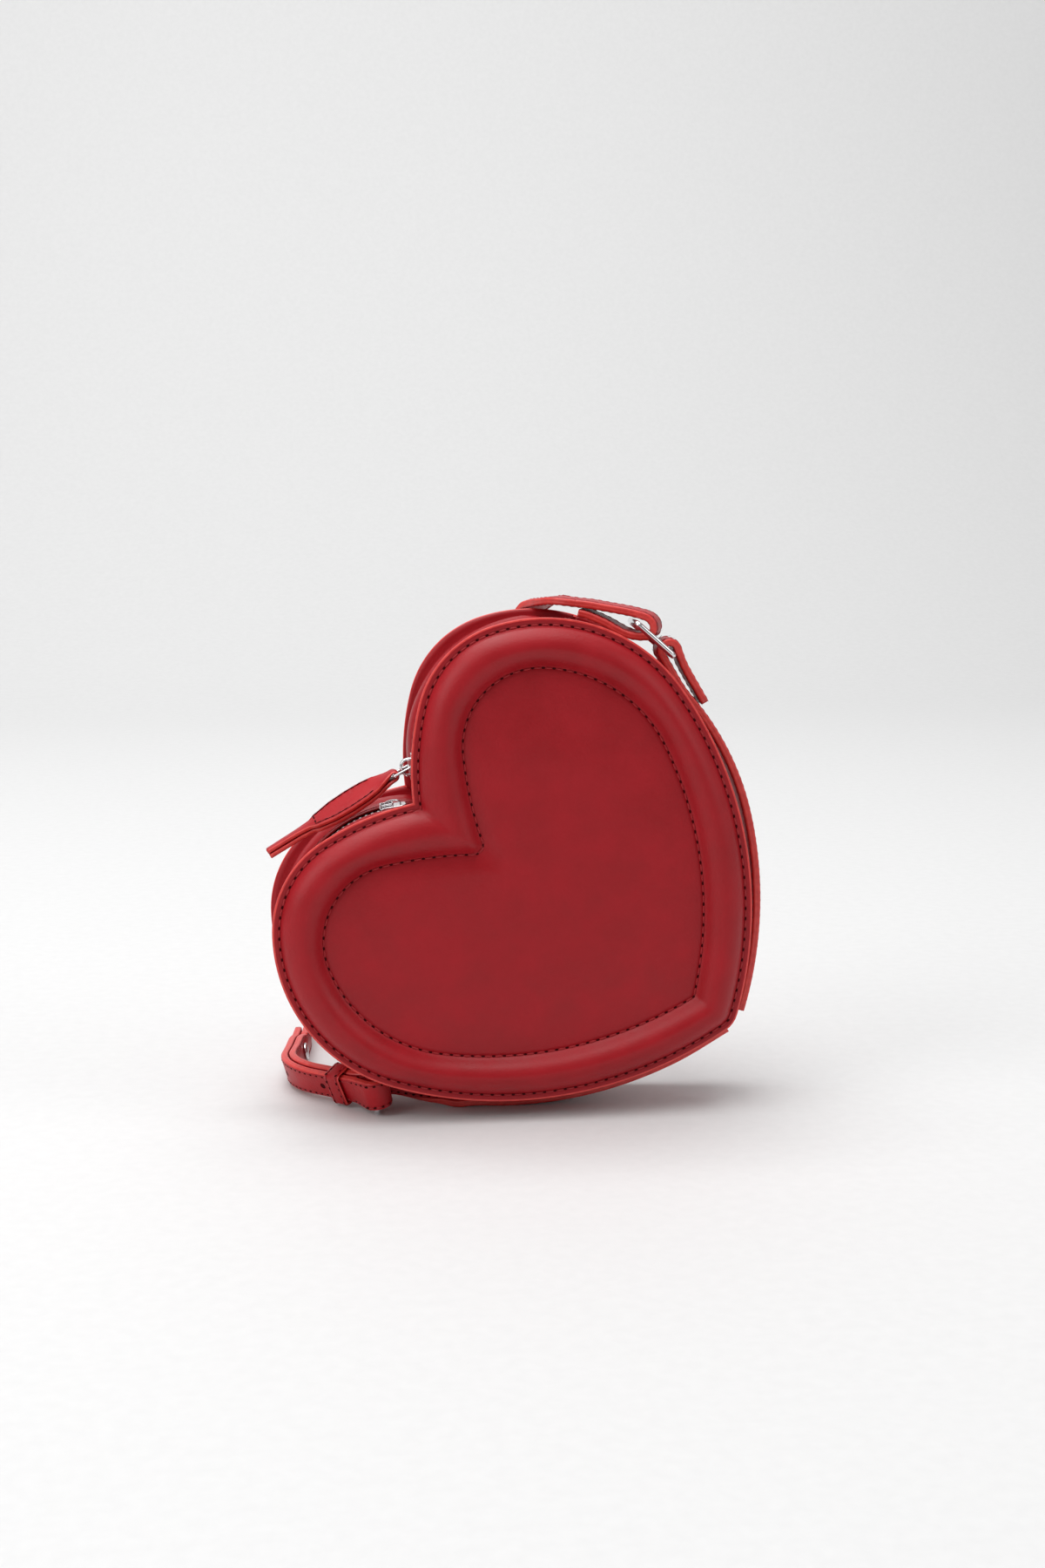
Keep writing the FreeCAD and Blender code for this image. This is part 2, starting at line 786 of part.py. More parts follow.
THICK = size("band_thick")
FOLD = size("band_fold")
ring_bar = (size("ring_length") - size("ring_wire")) / 2
ring_turn = FreeCAD.Rotation(Y_AXIS, -90 + size("ring_lean"))
ring_middle = V(size("ring_across"), 0, size("ring_height"))
RING = (size("ring_length"), size("ring_width"), size("ring_wire"), size("ring_corner"))

keep(wire_ring("ring_right", *RING), FreeCAD.Placement(ring_middle, ring_turn))

flank = half_heart(EDGE, {})[1][0]
bow = size("band_bow")
side_start = polar(flank, bow, math.radians(-69.9))
side_moves = (("turn", bow, 29), ("turn", 111, 28), ("turn", 40, -11), ("run", 12.6), ("turn", FOLD, -191),
              ("run", 3), ("turn", 40, 11), ("run", 14))
side_outline, side_path = band((side_start.x, side_start.y), 20.1, side_moves, THICK)
keep(strip("side_band_right", side_outline, "band_width"))


# Bands that twist: ruled lofts through rectangles along a smooth route

def smooth(points, steps):
    """Points along a curve through every given point, with its end points kept."""
    padded = [points[0] * 2 - points[1]] + points + [points[-1] * 2 - points[-2]]
    curve = []
    for before, start, end, after in zip(padded, padded[1:], padded[2:], padded[3:]):
        for step in range(steps):
            t = step / steps
            bend = (end - before) * t + (before * 2 - start * 5 + end * 4 - after) * t ** 2
            curve.append(start + (bend + (start * 3 - before - end * 3 + after) * t ** 3) * 0.5)
    return curve + [points[-1]]


def swept(places, sides):
    """Solid band of the strap's section through places, its width turned as given at each."""
    wires = []
    for index, (place, side) in enumerate(zip(places, sides)):
        ahead = places[min(index + 1, len(places) - 1)] - places[max(index - 1, 0)]
        ahead.normalize()
        across = side - ahead * side.dot(ahead)
        across.normalize()
        out = ahead.cross(across) * (THICK / 2)
        across = across * (size("band_width") / 2)
        corners = [place + across + out, place - across + out, place - across - out, place + across - out]
        sunk = min(0.0, *[corner.z for corner in corners])
        corners = [corner - V(0, 0, sunk) for corner in corners]
        wires.append(Part.makePolygon(corners + corners[:1]))
    return Part.makeLoft(wires, True, True)


def ribbon(route, widths, steps=4):
    """Solid band along a smooth route."""
    return swept(smooth([V(*point) for point in route], steps), smooth([V(*way) for way in widths], steps))


# The strap behind the purse and the left band under it.
# Floor frame: X to the right and Z up from the floor under the tip.

STAND = FreeCAD.Placement(V(0, 0, size("rest_height")), FreeCAD.Rotation(Y_AXIS, -size("tilt")))
WIDTH = size("band_width")
half_band = WIDTH / 2
level = FreeCAD.Placement(V(0, 0, half_band), FreeCAD.Rotation())
YAW = math.radians(size("strap_yaw"))
loop_width = (math.sin(YAW), math.cos(YAW), 0)


def on_loop(along, height):
    """Point of the strap's upper end, from its nose to the left and back."""
    return -28.45 - along * math.cos(YAW), (along - 5.5) * math.sin(YAW), height


# Loop round the upper ring: tail, lower leg, nose and upper leg

loop_line = ((31.0, 198.9), (26.8, 197.9), (20.5, 195.3), (16.2, 193.0), (12.5, 191.2), (9.2, 190.3),
             (6.0, 190.0), (3.2, 190.2), (1.2, 191.5), (0.6, 193.6), (1.4, 196.0), (3.8, 197.8),
             (8.3, 199.1), (13.4, 200.1), (19.8, 201.1), (26.0, 202.1), (31.0, 202.6))
feature("strap_right_end", ribbon([on_loop(*point) for point in loop_line], [loop_width] * len(loop_line)))

over_line = (
    (on_loop(31.0 + size("strap_joint"), 202.7), loop_width),
    (on_loop(36, 203.1), loop_width),
    ((-66.3, 13.8, 203.4), (0.5, 0.87, 0)),
    ((-69.3, 20.7, 202.6), (0.72, 0.69, 0)),
    ((-71.8, 27.7, 201.1), (0.9, 0.43, -0.05)),
    ((-75, 33.6, 197.4), (0.93, 0.3, -0.2)),
    ((-80, 38, 186.5), (0.95, 0.2, -0.25)),
    ((-91, 42, 160), (0.95, 0.15, -0.28)),
    ((-104, 47, 130), (0.95, 0.1, -0.25)),
    ((-118, 66, 80), (0.95, 0.2, -0.1)),
    ((-129, 88, 38), (0.85, 0.35, 0.2)),
    ((-132, 96.5, 20), (0.65, 0.4, 0.6)),
    ((-132.6, 100.3, 11.6), (0.4, 0.3, 0.85)),
    ((-133, 103, 7.4), (0.1, 0.08, 0.98)),
    ((-133, 104.8, 6.3), (0, 0, 1)),
    ((-133, 105.8, half_band), (0, 0, 1)),
    ((-133, 108 - size("strap_joint"), half_band), (0, 0, 1)),
)
over_route, over_widths = zip(*over_line)
feature("strap_over_lobe", ribbon(over_route, over_widths))

coil_moves = [("turn", radius, 180) for radius in (8, 16, 20, 22)]
coil_outline, coil_path = band((-133, 108), 90, coil_moves, THICK)
keep(strip("strap_floor_coil", coil_outline, "band_width", "XY_Plane"), level, True)
lead_moves = (("turn", 27, 180), ("run", 16), ("turn", 60, -7), ("run", 14))
lead_outline, lead_path = band((coil_path.point.x, coil_path.point.y), 90, lead_moves, THICK)
keep(strip("strap_left_lead", lead_outline, "band_width", "XY_Plane"), level, True)

# Doubled end of the strap: drawn flat, then leaned outwards and raised to its nose

PAIR = size("strap_pair")
LEANS = ((0, 0), (6, 10), (20, 10), (60, 25), (80, 25), (92, 12))
HEADING = -97
BEND = 31.6
TURN = 52


def trail(start, heading, moves, step):
    """Points and headings along a plane route, and where each move starts."""
    path = Path(start, heading, 0)
    samples = [(path.point, path.heading)]
    marks = []
    for kind, *sizes in moves:
        marks.append((path.point, path.heading))
        length = sizes[0] if kind == "run" else sizes[0] * math.radians(abs(sizes[1]))
        count = max(1, round(length / step), 0 if kind == "run" else round(abs(sizes[1]) / 15))
        for _ in range(count):
            if kind == "run":
                path.run(length / count)
            else:
                path.turn(sizes[0], sizes[1] / count)
            samples.append((path.point, path.heading))
    return samples, marks


def lean_at(length):
    """Angle in radians that the doubled strap leans at a length from its start."""
    for (first, low), (last, high) in zip(LEANS, LEANS[1:]):
        if length < last:
            share = max(0.0, (length - first) / (last - first))
            return math.radians(low + (high - low) * share)
    return math.radians(LEANS[-1][1])


lead_end = lead_path.point
first_way = V(math.cos(math.radians(HEADING)), math.sin(math.radians(HEADING)), 0)
first_out = V(first_way.y, -first_way.x, 0)
left_start = lead_end + first_way * size("strap_joint")
nose_radius = 4.2
spread = 7.15
left_moves = (("run", 30), ("turn", BEND, TURN), ("run", 19.5), ("turn", 20, 14), ("run", spread),
              ("turn", nose_radius, -208), ("run", spread), ("turn", 20, 14), ("run", 19.5),
              ("turn", BEND + PAIR, -TURN), ("run", 42))
left_trail, left_marks = trail((left_start.x, left_start.y), HEADING, left_moves, 2.5)
nose_point, nose_heading = left_marks[5]
nose = nose_point + V(math.sin(nose_heading), -math.cos(nose_heading), 0) * nose_radius
before = 20
spine_start = left_start - first_way * before + first_out * (PAIR / 2)
spine, _ = trail((spine_start.x, spine_start.y), HEADING,
                 (("run", before + 30), ("turn", BEND + PAIR / 2, TURN), ("run", 70)), 0.5)
marked = [(point, heading, number * 0.5 - before) for number, (point, heading) in enumerate(spine)]
rise = size("nose_lift") / 90


def on_bank(point):
    """Place, width and way ahead of the leaning strap at a point of its flat drawing."""
    place, heading, length = min(marked, key=lambda item: (item[0] - point).Length)
    out = V(math.sin(heading), -math.cos(heading), 0)
    lean = lean_at(length)
    low, high = math.sin(lean), math.cos(lean)
    aside = (point - place).dot(out)
    middle = half_band * high + (PAIR + THICK) / 2 * low + rise * max(0.0, length)
    raised = point + out * (aside * (high - 1)) + Z_AXIS * (middle - aside * low)
    forward = V(math.cos(heading), math.sin(heading), rise if length > 0 else 0)
    return raised, Z_AXIS * high + out * low, forward


left_stations = [on_bank(point) for point, _ in left_trail]
feature("strap_left_end", swept([item[0] for item in left_stations], [item[1] for item in left_stations]))


def on_strap(point):
    """Placement on the leaning strap: X along it, Y to its inner side and Z along its width."""
    place, width, forward = on_bank(point)
    return FreeCAD.Placement(place, FreeCAD.Rotation(forward, V(), width, "XZY"))


def keeper():
    """Loose leather loop round both layers of the strap."""
    made = body("strap_keeper")
    depth = (PAIR + THICK + size("keeper_play")) / 2
    tall = (WIDTH + size("keeper_play")) / 2
    wall = size("keeper_wall")
    loop = []
    for extra in (0, wall):
        y, z = depth + extra, tall + extra
        loop += polygon((-y, -z), (y, -z), (y, z), (-y, z))
    pad(made, sketch(made, "loop", loop, {"keeper_length": -0.5}, "YZ_Plane"), {"keeper_length": 1})
    straight, heading = left_marks[2]
    along = V(math.cos(heading), math.sin(heading), 0)
    out = V(math.sin(heading), -math.cos(heading), 0)
    place = on_strap(straight + along * size("keeper_at") + out * (PAIR / 2))
    keep(made, place, True)
    return place.Rotation.multVec(V(1, 0, 0))


keeper_way = keeper()


def stud():
    """Slotted screw through both layers of the strap, and the flat cap on its other end."""
    place = on_strap(left_start + first_way * size("stud_at"))
    screw = body("stud_screw")
    disc = [(Part.Circle(V(), Z_AXIS, size("screw_radius")), {"screw_radius": 1})]
    face = {"band_thick": -0.5, "stud_gap": -1, "screw_head": -1}
    pad(screw, sketch(screw, "head", disc, face), {"screw_head": 1})
    keep(screw, place, True)
    cap = body("stud_cap")
    disc = [(Part.Circle(V(), Z_AXIS, size("cap_radius")), {"cap_radius": 1})]
    pad(cap, sketch(cap, "head", disc, {"strap_pair": 1, "band_thick": 0.5, "stud_gap": 1}), {"cap_head": 1})
    keep(cap, place, True)


stud()


def left_ring_and_band():
    """Ring that stands in the strap's folded end, and the band that comes from under the bag to it."""
    reach = size("ring_length") - size("ring_wire")
    slant = math.radians(size("left_ring_heading"))
    raised_nose, _, _ = on_bank(nose)
    way = V(math.cos(slant), math.sin(slant), 0)
    lean = math.radians(size("left_ring_lean"))
    width = Z_AXIS * math.cos(lean) + Z_AXIS.cross(way) * math.sin(lean)
    bar = raised_nose + way * reach
    turned = FreeCAD.Rotation(way, width, V(), "YXZ")
    middle = raised_nose + way * (reach / 2) + width * 0.9
    keep(wire_ring("ring_left", *RING), FreeCAD.Placement(middle, turned), True)
    centre = STAND.multVec(V(-flank.x, 0, flank.y))
    tip_end = STAND.multVec(V(-side_start.x, 0, side_start.y))
    start_angle = math.atan2(tip_end.z - centre.z, tip_end.x - centre.x)
    route, widths = [], []
    for step in range(5):
        angle = start_angle + (-math.pi / 2 - start_angle) * step / 4
        route.append((centre.x + bow * math.cos(angle), 0, centre.z + bow * math.sin(angle)))
        widths.append(Y_AXIS)
    floor_end = V(centre.x - 18, 0, centre.z - bow)
    leg = bar - floor_end
    leg = leg - width * leg.dot(width)
    leg.normalize()
    side = width.cross(leg)
    leg_start = bar + side * FOLD - leg * 10
    route.append(floor_end)
    widths.append(Y_AXIS)
    for part, turn in ((0.36, 40), (0.7, 70), (1, 90)):
        swell = V(0, 0, 1.2 * part * (1 - part) / 0.25)
        route.append(floor_end + (leg_start - floor_end) * part + swell)
        widths.append(Y_AXIS * math.cos(math.radians(turn)) + width * math.sin(math.radians(turn)))
    for step in range(6):
        route.append(bar + FreeCAD.Rotation(width, -36 * step).multVec(side) * FOLD)
        widths.append(width)
    route.append(bar - side * (FOLD - 0.6) - leg * 11)
    widths.append(width)
    feature("side_band_left", ribbon(route, widths))
    return bar, width


left_bar, left_axis = left_ring_and_band()


# Check, place and write

doc.recompute()
box = FreeCAD.BoundBox()
for made, local, laid in nodes:
    if laid:
        made.Placement = local
    else:
        made.Placement = STAND.multiply(local)
doc.recompute()
for item in doc.Objects:
    if "Invalid" in item.State or "Error" in item.State:
        raise ValueError("%s is %s" % (item.Label, item.State))
for made, _, _ in nodes:
    if made.Shape.isNull() or not made.Shape.isValid():
        raise ValueError("%s has no valid shape" % made.Label)
    box.add(made.Shape.optimalBoundingBox(False, False))
shift = V(-box.Center.x, -box.Center.y, -box.ZMin)
os.makedirs("parts", exist_ok=True)
for made, _, _ in nodes:
    made.Placement = FreeCAD.Placement(shift, FreeCAD.Rotation()).multiply(made.Placement)
doc.recompute()
for made, _, _ in nodes:
    made.Shape.exportStep("parts/%s.step" % made.Label)


def length_of(points):
    """Length of the line through points."""
    return sum((end - start).Length for start, end in zip(points, points[1:]))


def least_gap(points, apart):
    """Least clear distance between turns of a band, at points that lie further than a length apart along it."""
    along = [0.0]
    for start, end in zip(points, points[1:]):
        along.append(along[-1] + (end - start).Length)
    near = math.inf
    for place, point in enumerate(points):
        for other in range(place):
            if along[place] - along[other] > apart:
                near = min(near, (point - points[other]).Length)
    return near - THICK


# Points that the joints turn about, in the part's own frame

marks = {
    "link_bar": STAND.multVec(link_bar),
    "link_end": STAND.multVec(link_end),
    "short_bar": STAND.multVec(short_bar),
    "ring_right_bar": STAND.multVec(ring_middle - ring_turn.multVec(V(ring_bar, 0, 0))),
    "ring_left_bar": left_bar,
    "coil_foot": V(coil_path.point.x, coil_path.point.y, 0),
}
for name, point in marks.items():
    print("point %s %.4f,%.4f,%.4f" % (name, *(point + shift)))
print("point keeper_way %.6f,%.6f,%.6f" % tuple(keeper_way))
print("point ring_left_axis %.6f,%.6f,%.6f" % tuple(left_axis))
for made, _, _ in nodes:
    print("node", made.Label)
strap = coil_path.length + lead_path.length + length_of([item[0] for item in left_stations])
for route in ([on_loop(*point) for point in loop_line], over_route):
    strap += length_of([V(*point) for point in route])
print("strap %.0f" % strap)
winding, _ = trail((-133, 108), 90, coil_moves + list(lead_moves), 1)
print("coil gap %.2f" % least_gap([point for point, _ in winding], 50))
print("box", box, "shift", shift)
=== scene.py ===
"""Heart shaped purse: formed leather, stitching, zip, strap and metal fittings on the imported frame."""

import json
import logging
import math
from dataclasses import dataclass
from enum import Enum
from typing import Any, Callable, ClassVar, Optional, Sequence

import bmesh
import bpy
from mathutils import Matrix, Vector, noise


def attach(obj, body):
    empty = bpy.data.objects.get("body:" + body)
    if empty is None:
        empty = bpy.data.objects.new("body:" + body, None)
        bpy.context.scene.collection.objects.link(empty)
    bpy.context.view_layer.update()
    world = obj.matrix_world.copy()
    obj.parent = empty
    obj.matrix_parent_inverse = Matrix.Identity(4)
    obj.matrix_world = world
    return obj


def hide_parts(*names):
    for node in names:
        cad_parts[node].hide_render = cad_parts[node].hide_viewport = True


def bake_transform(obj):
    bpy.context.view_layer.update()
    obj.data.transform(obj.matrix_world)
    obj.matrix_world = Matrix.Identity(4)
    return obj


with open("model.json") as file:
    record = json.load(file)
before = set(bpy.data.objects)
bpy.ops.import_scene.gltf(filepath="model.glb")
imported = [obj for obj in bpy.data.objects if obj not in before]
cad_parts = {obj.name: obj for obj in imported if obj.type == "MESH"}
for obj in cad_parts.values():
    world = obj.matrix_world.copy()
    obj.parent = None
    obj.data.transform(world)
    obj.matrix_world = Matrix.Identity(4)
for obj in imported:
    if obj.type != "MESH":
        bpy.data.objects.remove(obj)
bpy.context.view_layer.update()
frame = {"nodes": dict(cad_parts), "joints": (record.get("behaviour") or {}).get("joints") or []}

LOG = logging.getLogger("heart_purse")
MM = 0.001
GATHER_REACH = 12 * MM
Point = tuple[float, float]
StitchRow = Sequence[tuple[Vector, Vector]]
Height = Callable[[float, float, float], float]
Y_AXIS = Vector((0.0, 1.0, 0.0))
Z_AXIS = Vector((0.0, 0.0, 1.0))


class Half(Enum):
    """Front or back half of the bag, with the side of the middle that it is on."""

    FRONT = ("front", -1.0, "front")
    BACK = ("back", 1.0, "bag")

    @property
    def label(self) -> str:
        """Word used in node names."""
        return self.value[0]

    @property
    def side(self) -> float:
        """Sign of the half's depth."""
        return self.value[1]

    @property
    def body(self) -> str:
        """Body that the half moves with."""
        return self.value[2]


class Lobe(Enum):
    """Right or left lobe, with the side of the heart's axis that it is on."""

    RIGHT = ("right", 1.0)
    LEFT = ("left", -1.0)

    @property
    def label(self) -> str:
        """Word used in node names."""
        return self.value[0]

    @property
    def side(self) -> float:
        """Sign of the lobe's place across the heart."""
        return self.value[1]


# Finishes

def colour(code: str) -> tuple[float, float, float, float]:
    """Turn an sRGB hex colour into linear values.

    Args:
        code: six hex digits.

    Returns:
        Linear red, green, blue and an alpha of 1.
    """
    parts = [int(code[i:i + 2], 16) / 255 for i in (0, 2, 4)]
    red, green, blue = (p / 12.92 if p <= 0.04045 else ((p + 0.055) / 1.055) ** 2.4 for p in parts)
    return red, green, blue, 1.0


def add_node(tree: bpy.types.NodeTree, kind: str, settings: Optional[dict[str, Any]] = None,
             **inputs: Any) -> bpy.types.Node:
    """Add one shader node, with its settings, values and links.

    Args:
        tree: node tree that the node goes into.
        kind: node type without its ShaderNode prefix.
        settings: attributes of the node.
        inputs: socket names with underscores for spaces, or i0, i1 for a place; a socket is linked.

    Returns:
        The new node.
    """
    node = tree.nodes.new("ShaderNode" + kind)
    for key, setting in (settings or {}).items():
        setattr(node, key, setting)
    for key, given in inputs.items():
        place = int(key[1:]) if key[0] == "i" and key[1:].isdigit() else key.replace("_", " ")
        socket = node.inputs[place]
        if isinstance(given, bpy.types.NodeSocket):
            tree.links.new(given, socket)
        else:
            socket.default_value = given
    return node


def fresh(name: str) -> tuple[bpy.types.Material, bpy.types.NodeTree, bpy.types.Node, bpy.types.NodeSocket]:
    """Start a node material.

    Args:
        name: the material's name.

    Returns:
        The material, its tree, its principled shader and the object coordinates.
    """
    material = bpy.data.materials.new(name)
    material.use_nodes = True
    tree = material.node_tree
    shader = next(node for node in tree.nodes if node.type == "BSDF_PRINCIPLED")
    return material, tree, shader, add_node(tree, "TexCoord").outputs["Object"]


def ramp(tree: bpy.types.NodeTree, factor: bpy.types.NodeSocket, low: float, high: float,
         first: Sequence[float], last: Sequence[float]) -> bpy.types.NodeSocket:
    """Blend two colours between two values of a pattern.

    Args:
        tree: node tree.
        factor: the pattern.
        low: value where the first colour ends.
        high: value where the last colour starts.
        first: first colour.
        last: last colour.

    Returns:
        The colour socket.
    """
    node = add_node(tree, "ValToRGB", Fac=factor)
    start, end = node.color_ramp.elements
    start.position, end.position = low, high
    start.color, end.color = first, last
    return node.outputs["Color"]


def paint(tree: bpy.types.NodeTree, shader: bpy.types.Node, pattern: bpy.types.NodeSocket, span: Point,
          shade: str, face: str) -> None:
    """Colour a shader from one colour to another by a pattern.

    Args:
        tree: node tree.
        shader: the principled shader.
        pattern: the pattern.
        span: values of the pattern where the shade ends and where the face starts.
        shade: hex colour of the pattern's low parts.
        face: hex colour of its high parts.
    """
    tree.links.new(ramp(tree, pattern, *span, colour(shade), colour(face)), shader.inputs["Base Color"])


def emboss(tree: bpy.types.NodeTree, shader: bpy.types.Node, height: bpy.types.NodeSocket, strength: float,
           depth_mm: float) -> None:
    """Let a pattern raise a shader's surface.

    Args:
        tree: node tree.
        shader: the principled shader.
        height: the pattern.
        strength: share of the full effect.
        depth_mm: how deep the pattern is.
    """
    bump = add_node(tree, "Bump", Strength=strength, Distance=depth_mm * MM, Height=height)
    tree.links.new(bump.outputs["Normal"], shader.inputs["Normal"])


@dataclass(frozen=True)
class CoatedLeather:
    """Split leather with a rolled and embossed colour coat: even colour, fine grain and a soft sheen."""

    name: str
    face: str
    deep: str
    roughness: float = 0.42
    grain_mm: float = 1.0
    mottle_mm: float = 14.0
    grain_depth_mm: float = 0.1
    crease_mm: float = 5.0

    def build(self) -> bpy.types.Material:
        """Make the material.

        Returns:
            A material with mottled colour, uneven gloss, grain and faint creases.
        """
        material, tree, shader, place = fresh(self.name)
        mottle = add_node(tree, "TexNoise", Vector=place, Scale=1 / (self.mottle_mm * MM), Detail=4.0,
                          Roughness=0.55).outputs["Fac"]
        paint(tree, shader, mottle, (0.32, 0.7), self.deep, self.face)
        # The embossing roll leaves small pebbles with fine valleys; drawn a little coarse so that it shows
        pebble = add_node(tree, "TexVoronoi", {"feature": "SMOOTH_F1"}, Vector=place,
                          Scale=1 / (self.grain_mm * MM), Randomness=1.0).outputs["Distance"]
        fine = add_node(tree, "TexNoise", Vector=place, Scale=2.2 / (self.grain_mm * MM),
                        Detail=3.0).outputs["Fac"]
        crease = add_node(tree, "TexNoise", {"noise_type": "RIDGED_MULTIFRACTAL"}, Vector=place,
                          Scale=1 / (self.crease_mm * MM), Detail=3.0, Roughness=0.5).outputs["Fac"]
        gloss = add_node(tree, "MapRange", Value=mottle, From_Min=0.3, From_Max=0.7,
                         To_Min=self.roughness - 0.05, To_Max=self.roughness + 0.06).outputs["Result"]
        grain = add_node(tree, "MapRange", Value=pebble, From_Min=0.0, From_Max=0.7, To_Min=1.0, To_Max=0.0)
        mixed = add_node(tree, "Mix", {"data_type": "FLOAT"}, Factor=0.35, A=grain.outputs["Result"], B=fine)
        low = add_node(tree, "Bump", Strength=0.10, Distance=0.25 * MM, Height=crease)
        bump = add_node(tree, "Bump", Strength=0.55, Distance=self.grain_depth_mm * MM,
                        Height=mixed.outputs["Result"], Normal=low.outputs["Normal"])
        tree.links.new(gloss, shader.inputs["Roughness"])
        tree.links.new(bump.outputs["Normal"], shader.inputs["Normal"])
        shader.inputs["IOR"].default_value = 1.47
        shader.inputs["Specular IOR Level"].default_value = 0.34
        return material


@dataclass(frozen=True)
class EdgePaint:
    """Acrylic edge paint, brushed on the cut edge in thick coats: brighter, smoother and a little uneven."""

    name: str
    face: str
    shade: str

    def build(self) -> bpy.types.Material:
        """Make the material."""
        material, tree, shader, place = fresh(self.name)
        wave = add_node(tree, "TexNoise", Vector=place, Scale=1 / (2.5 * MM), Detail=2.0).outputs["Fac"]
        paint(tree, shader, wave, (0.3, 0.7), self.shade, self.face)
        gloss = add_node(tree, "MapRange", Value=wave, To_Min=0.3, To_Max=0.48).outputs["Result"]
        tree.links.new(gloss, shader.inputs["Roughness"])
        emboss(tree, shader, wave, 0.3, 0.12)
        return material


@dataclass(frozen=True)
class TwistedThread:
    """Bonded polyester thread, three plies twisted: dull, with slanted ridges."""

    name: str
    face: str
    shade: str
    sheen: float = 0.15
    gloss: float = 0.4

    def build(self) -> bpy.types.Material:
        """Make the material."""
        material, tree, shader, place = fresh(self.name)
        slant = add_node(tree, "Mapping", Vector=place, Rotation=(0.6, 0.4, 0.7)).outputs["Vector"]
        ply = add_node(tree, "TexWave", Vector=slant, Scale=0.5 / (0.6 * MM), Distortion=1.5, Detail=1.0)
        paint(tree, shader, ply.outputs["Fac"], (0.2, 0.8), self.shade, self.face)
        emboss(tree, shader, ply.outputs["Fac"], 0.4, 0.1)
        shader.inputs["Roughness"].default_value = 0.62
        shader.inputs["Sheen Weight"].default_value = self.sheen
        shader.inputs["Specular IOR Level"].default_value = self.gloss
        return material


@dataclass(frozen=True)
class PlatedMetal:
    """Cast zinc or steel wire, polished and nickel plated: mirror bright, with faint smears and marks."""

    name: str
    face: str
    roughness: float = 0.12
    bright: str = "E9E9EA"

    def build(self) -> bpy.types.Material:
        """Make the material."""
        material, tree, shader, place = fresh(self.name)
        smear = add_node(tree, "TexNoise", Vector=place, Scale=1 / (3.0 * MM), Detail=5.0, Roughness=0.6)
        gloss = add_node(tree, "MapRange", Value=smear.outputs["Fac"], From_Min=0.3, From_Max=0.75,
                         To_Min=self.roughness, To_Max=self.roughness + 0.14).outputs["Result"]
        scratch = add_node(tree, "Mapping", Vector=place, Scale=(1.0, 9.0, 1.0)).outputs["Vector"]
        mark = add_node(tree, "TexNoise", Vector=scratch, Scale=1 / (1.2 * MM), Detail=2.0).outputs["Fac"]
        emboss(tree, shader, mark, 0.03, 0.03)
        paint(tree, shader, smear.outputs["Fac"], (0.25, 0.8), self.face, self.bright)
        tree.links.new(gloss, shader.inputs["Roughness"])
        shader.inputs["Metallic"].default_value = 1.0
        return material


@dataclass(frozen=True)
class WovenCloth:
    """Plain woven polyester: crossing threads that catch the light over and under."""

    name: str
    face: str
    shade: str
    thread_mm: float
    roughness: float = 0.75

    def build(self) -> bpy.types.Material:
        """Make the material."""
        material, tree, shader, place = fresh(self.name)
        waves = []
        for way in ("X", "Z"):
            wave = add_node(tree, "TexWave", {"bands_direction": way}, Vector=place, Distortion=0.6,
                            Scale=0.314 / (2 * self.thread_mm * MM), Detail=1.0, Detail_Scale=2.0)
            waves.append(wave.outputs["Fac"])
        weave = add_node(tree, "Math", {"operation": "MAXIMUM"}, i0=waves[0], i1=waves[1]).outputs["Value"]
        paint(tree, shader, weave, (0.15, 0.9), self.shade, self.face)
        emboss(tree, shader, weave, 0.5, 0.15)
        shader.inputs["Roughness"].default_value = self.roughness
        shader.inputs["Sheen Weight"].default_value = 0.2
        return material


@dataclass(frozen=True)
class PressedFill:
    """Foam or pressed fibre board inside the bag: dull, with open cells or fibres."""

    name: str
    face: str
    shade: str
    cell_mm: float

    def build(self) -> bpy.types.Material:
        """Make the material."""
        material, tree, shader, place = fresh(self.name)
        cell = add_node(tree, "TexVoronoi", Vector=place, Scale=1 / (self.cell_mm * MM)).outputs["Distance"]
        paint(tree, shader, cell, (0.1, 0.8), self.shade, self.face)
        emboss(tree, shader, cell, 0.4, 0.3)
        shader.inputs["Roughness"].default_value = 0.85
        return material


@dataclass(frozen=True)
class Finishes:
    """All finishes of the purse."""

    leather: bpy.types.Material
    band: bpy.types.Material
    edge: bpy.types.Material
    thread: bpy.types.Material
    # Thread darkened with painted shade, for the pull's stitches
    dark_thread: bpy.types.Material
    # Dark discs of painted shade for needle holes, punched holes and the screw's slot
    hole: bpy.types.Material
    metal: bpy.types.Material
    teeth: bpy.types.Material
    tape: bpy.types.Material
    lining: bpy.types.Material
    foam: bpy.types.Material
    board: bpy.types.Material

    @classmethod
    def make(cls) -> "Finishes":
        """Build every finish once."""
        return cls(
            leather=CoatedLeather("red_coated_leather", "9E0C19", "930A15").build(),
            band=CoatedLeather("red_strap_leather", "AC0E1A", "9C0B16", roughness=0.4, grain_mm=0.8).build(),
            edge=EdgePaint("coral_edge_paint", "D9403A", "C4302D").build(),
            thread=TwistedThread("dark_red_thread", "AE101B", "8A0B14").build(),
            # Thread darkened with painted shade for the pull's stitches
            dark_thread=TwistedThread("pull_thread_painted_shade", "5A0A12", "36050A", 0.0, 0.1).build(),
            # Painted shade for needle holes, punched holes and the screw's slot
            hole=TwistedThread("needle_hole", "4C060C", "2C0306", 0.0, 0.05).build(),
            metal=PlatedMetal("nickel_plate", "D6D6D9", 0.08).build(),
            teeth=PlatedMetal("nickel_zip_teeth", "BDBDC0", 0.2).build(),
            tape=WovenCloth("red_zip_tape", "A81420", "860C15", 0.6).build(),
            lining=WovenCloth("red_lining_cloth", "7A1015", "560A0E", 0.7).build(),
            foam=PressedFill("cream_foam", "E4DCC8", "BDB39A", 1.2).build(),
            board=PressedFill("pressed_fibre_board", "8C7A62", "6E5E4A", 1.6).build(),
        )


# Mesh helpers

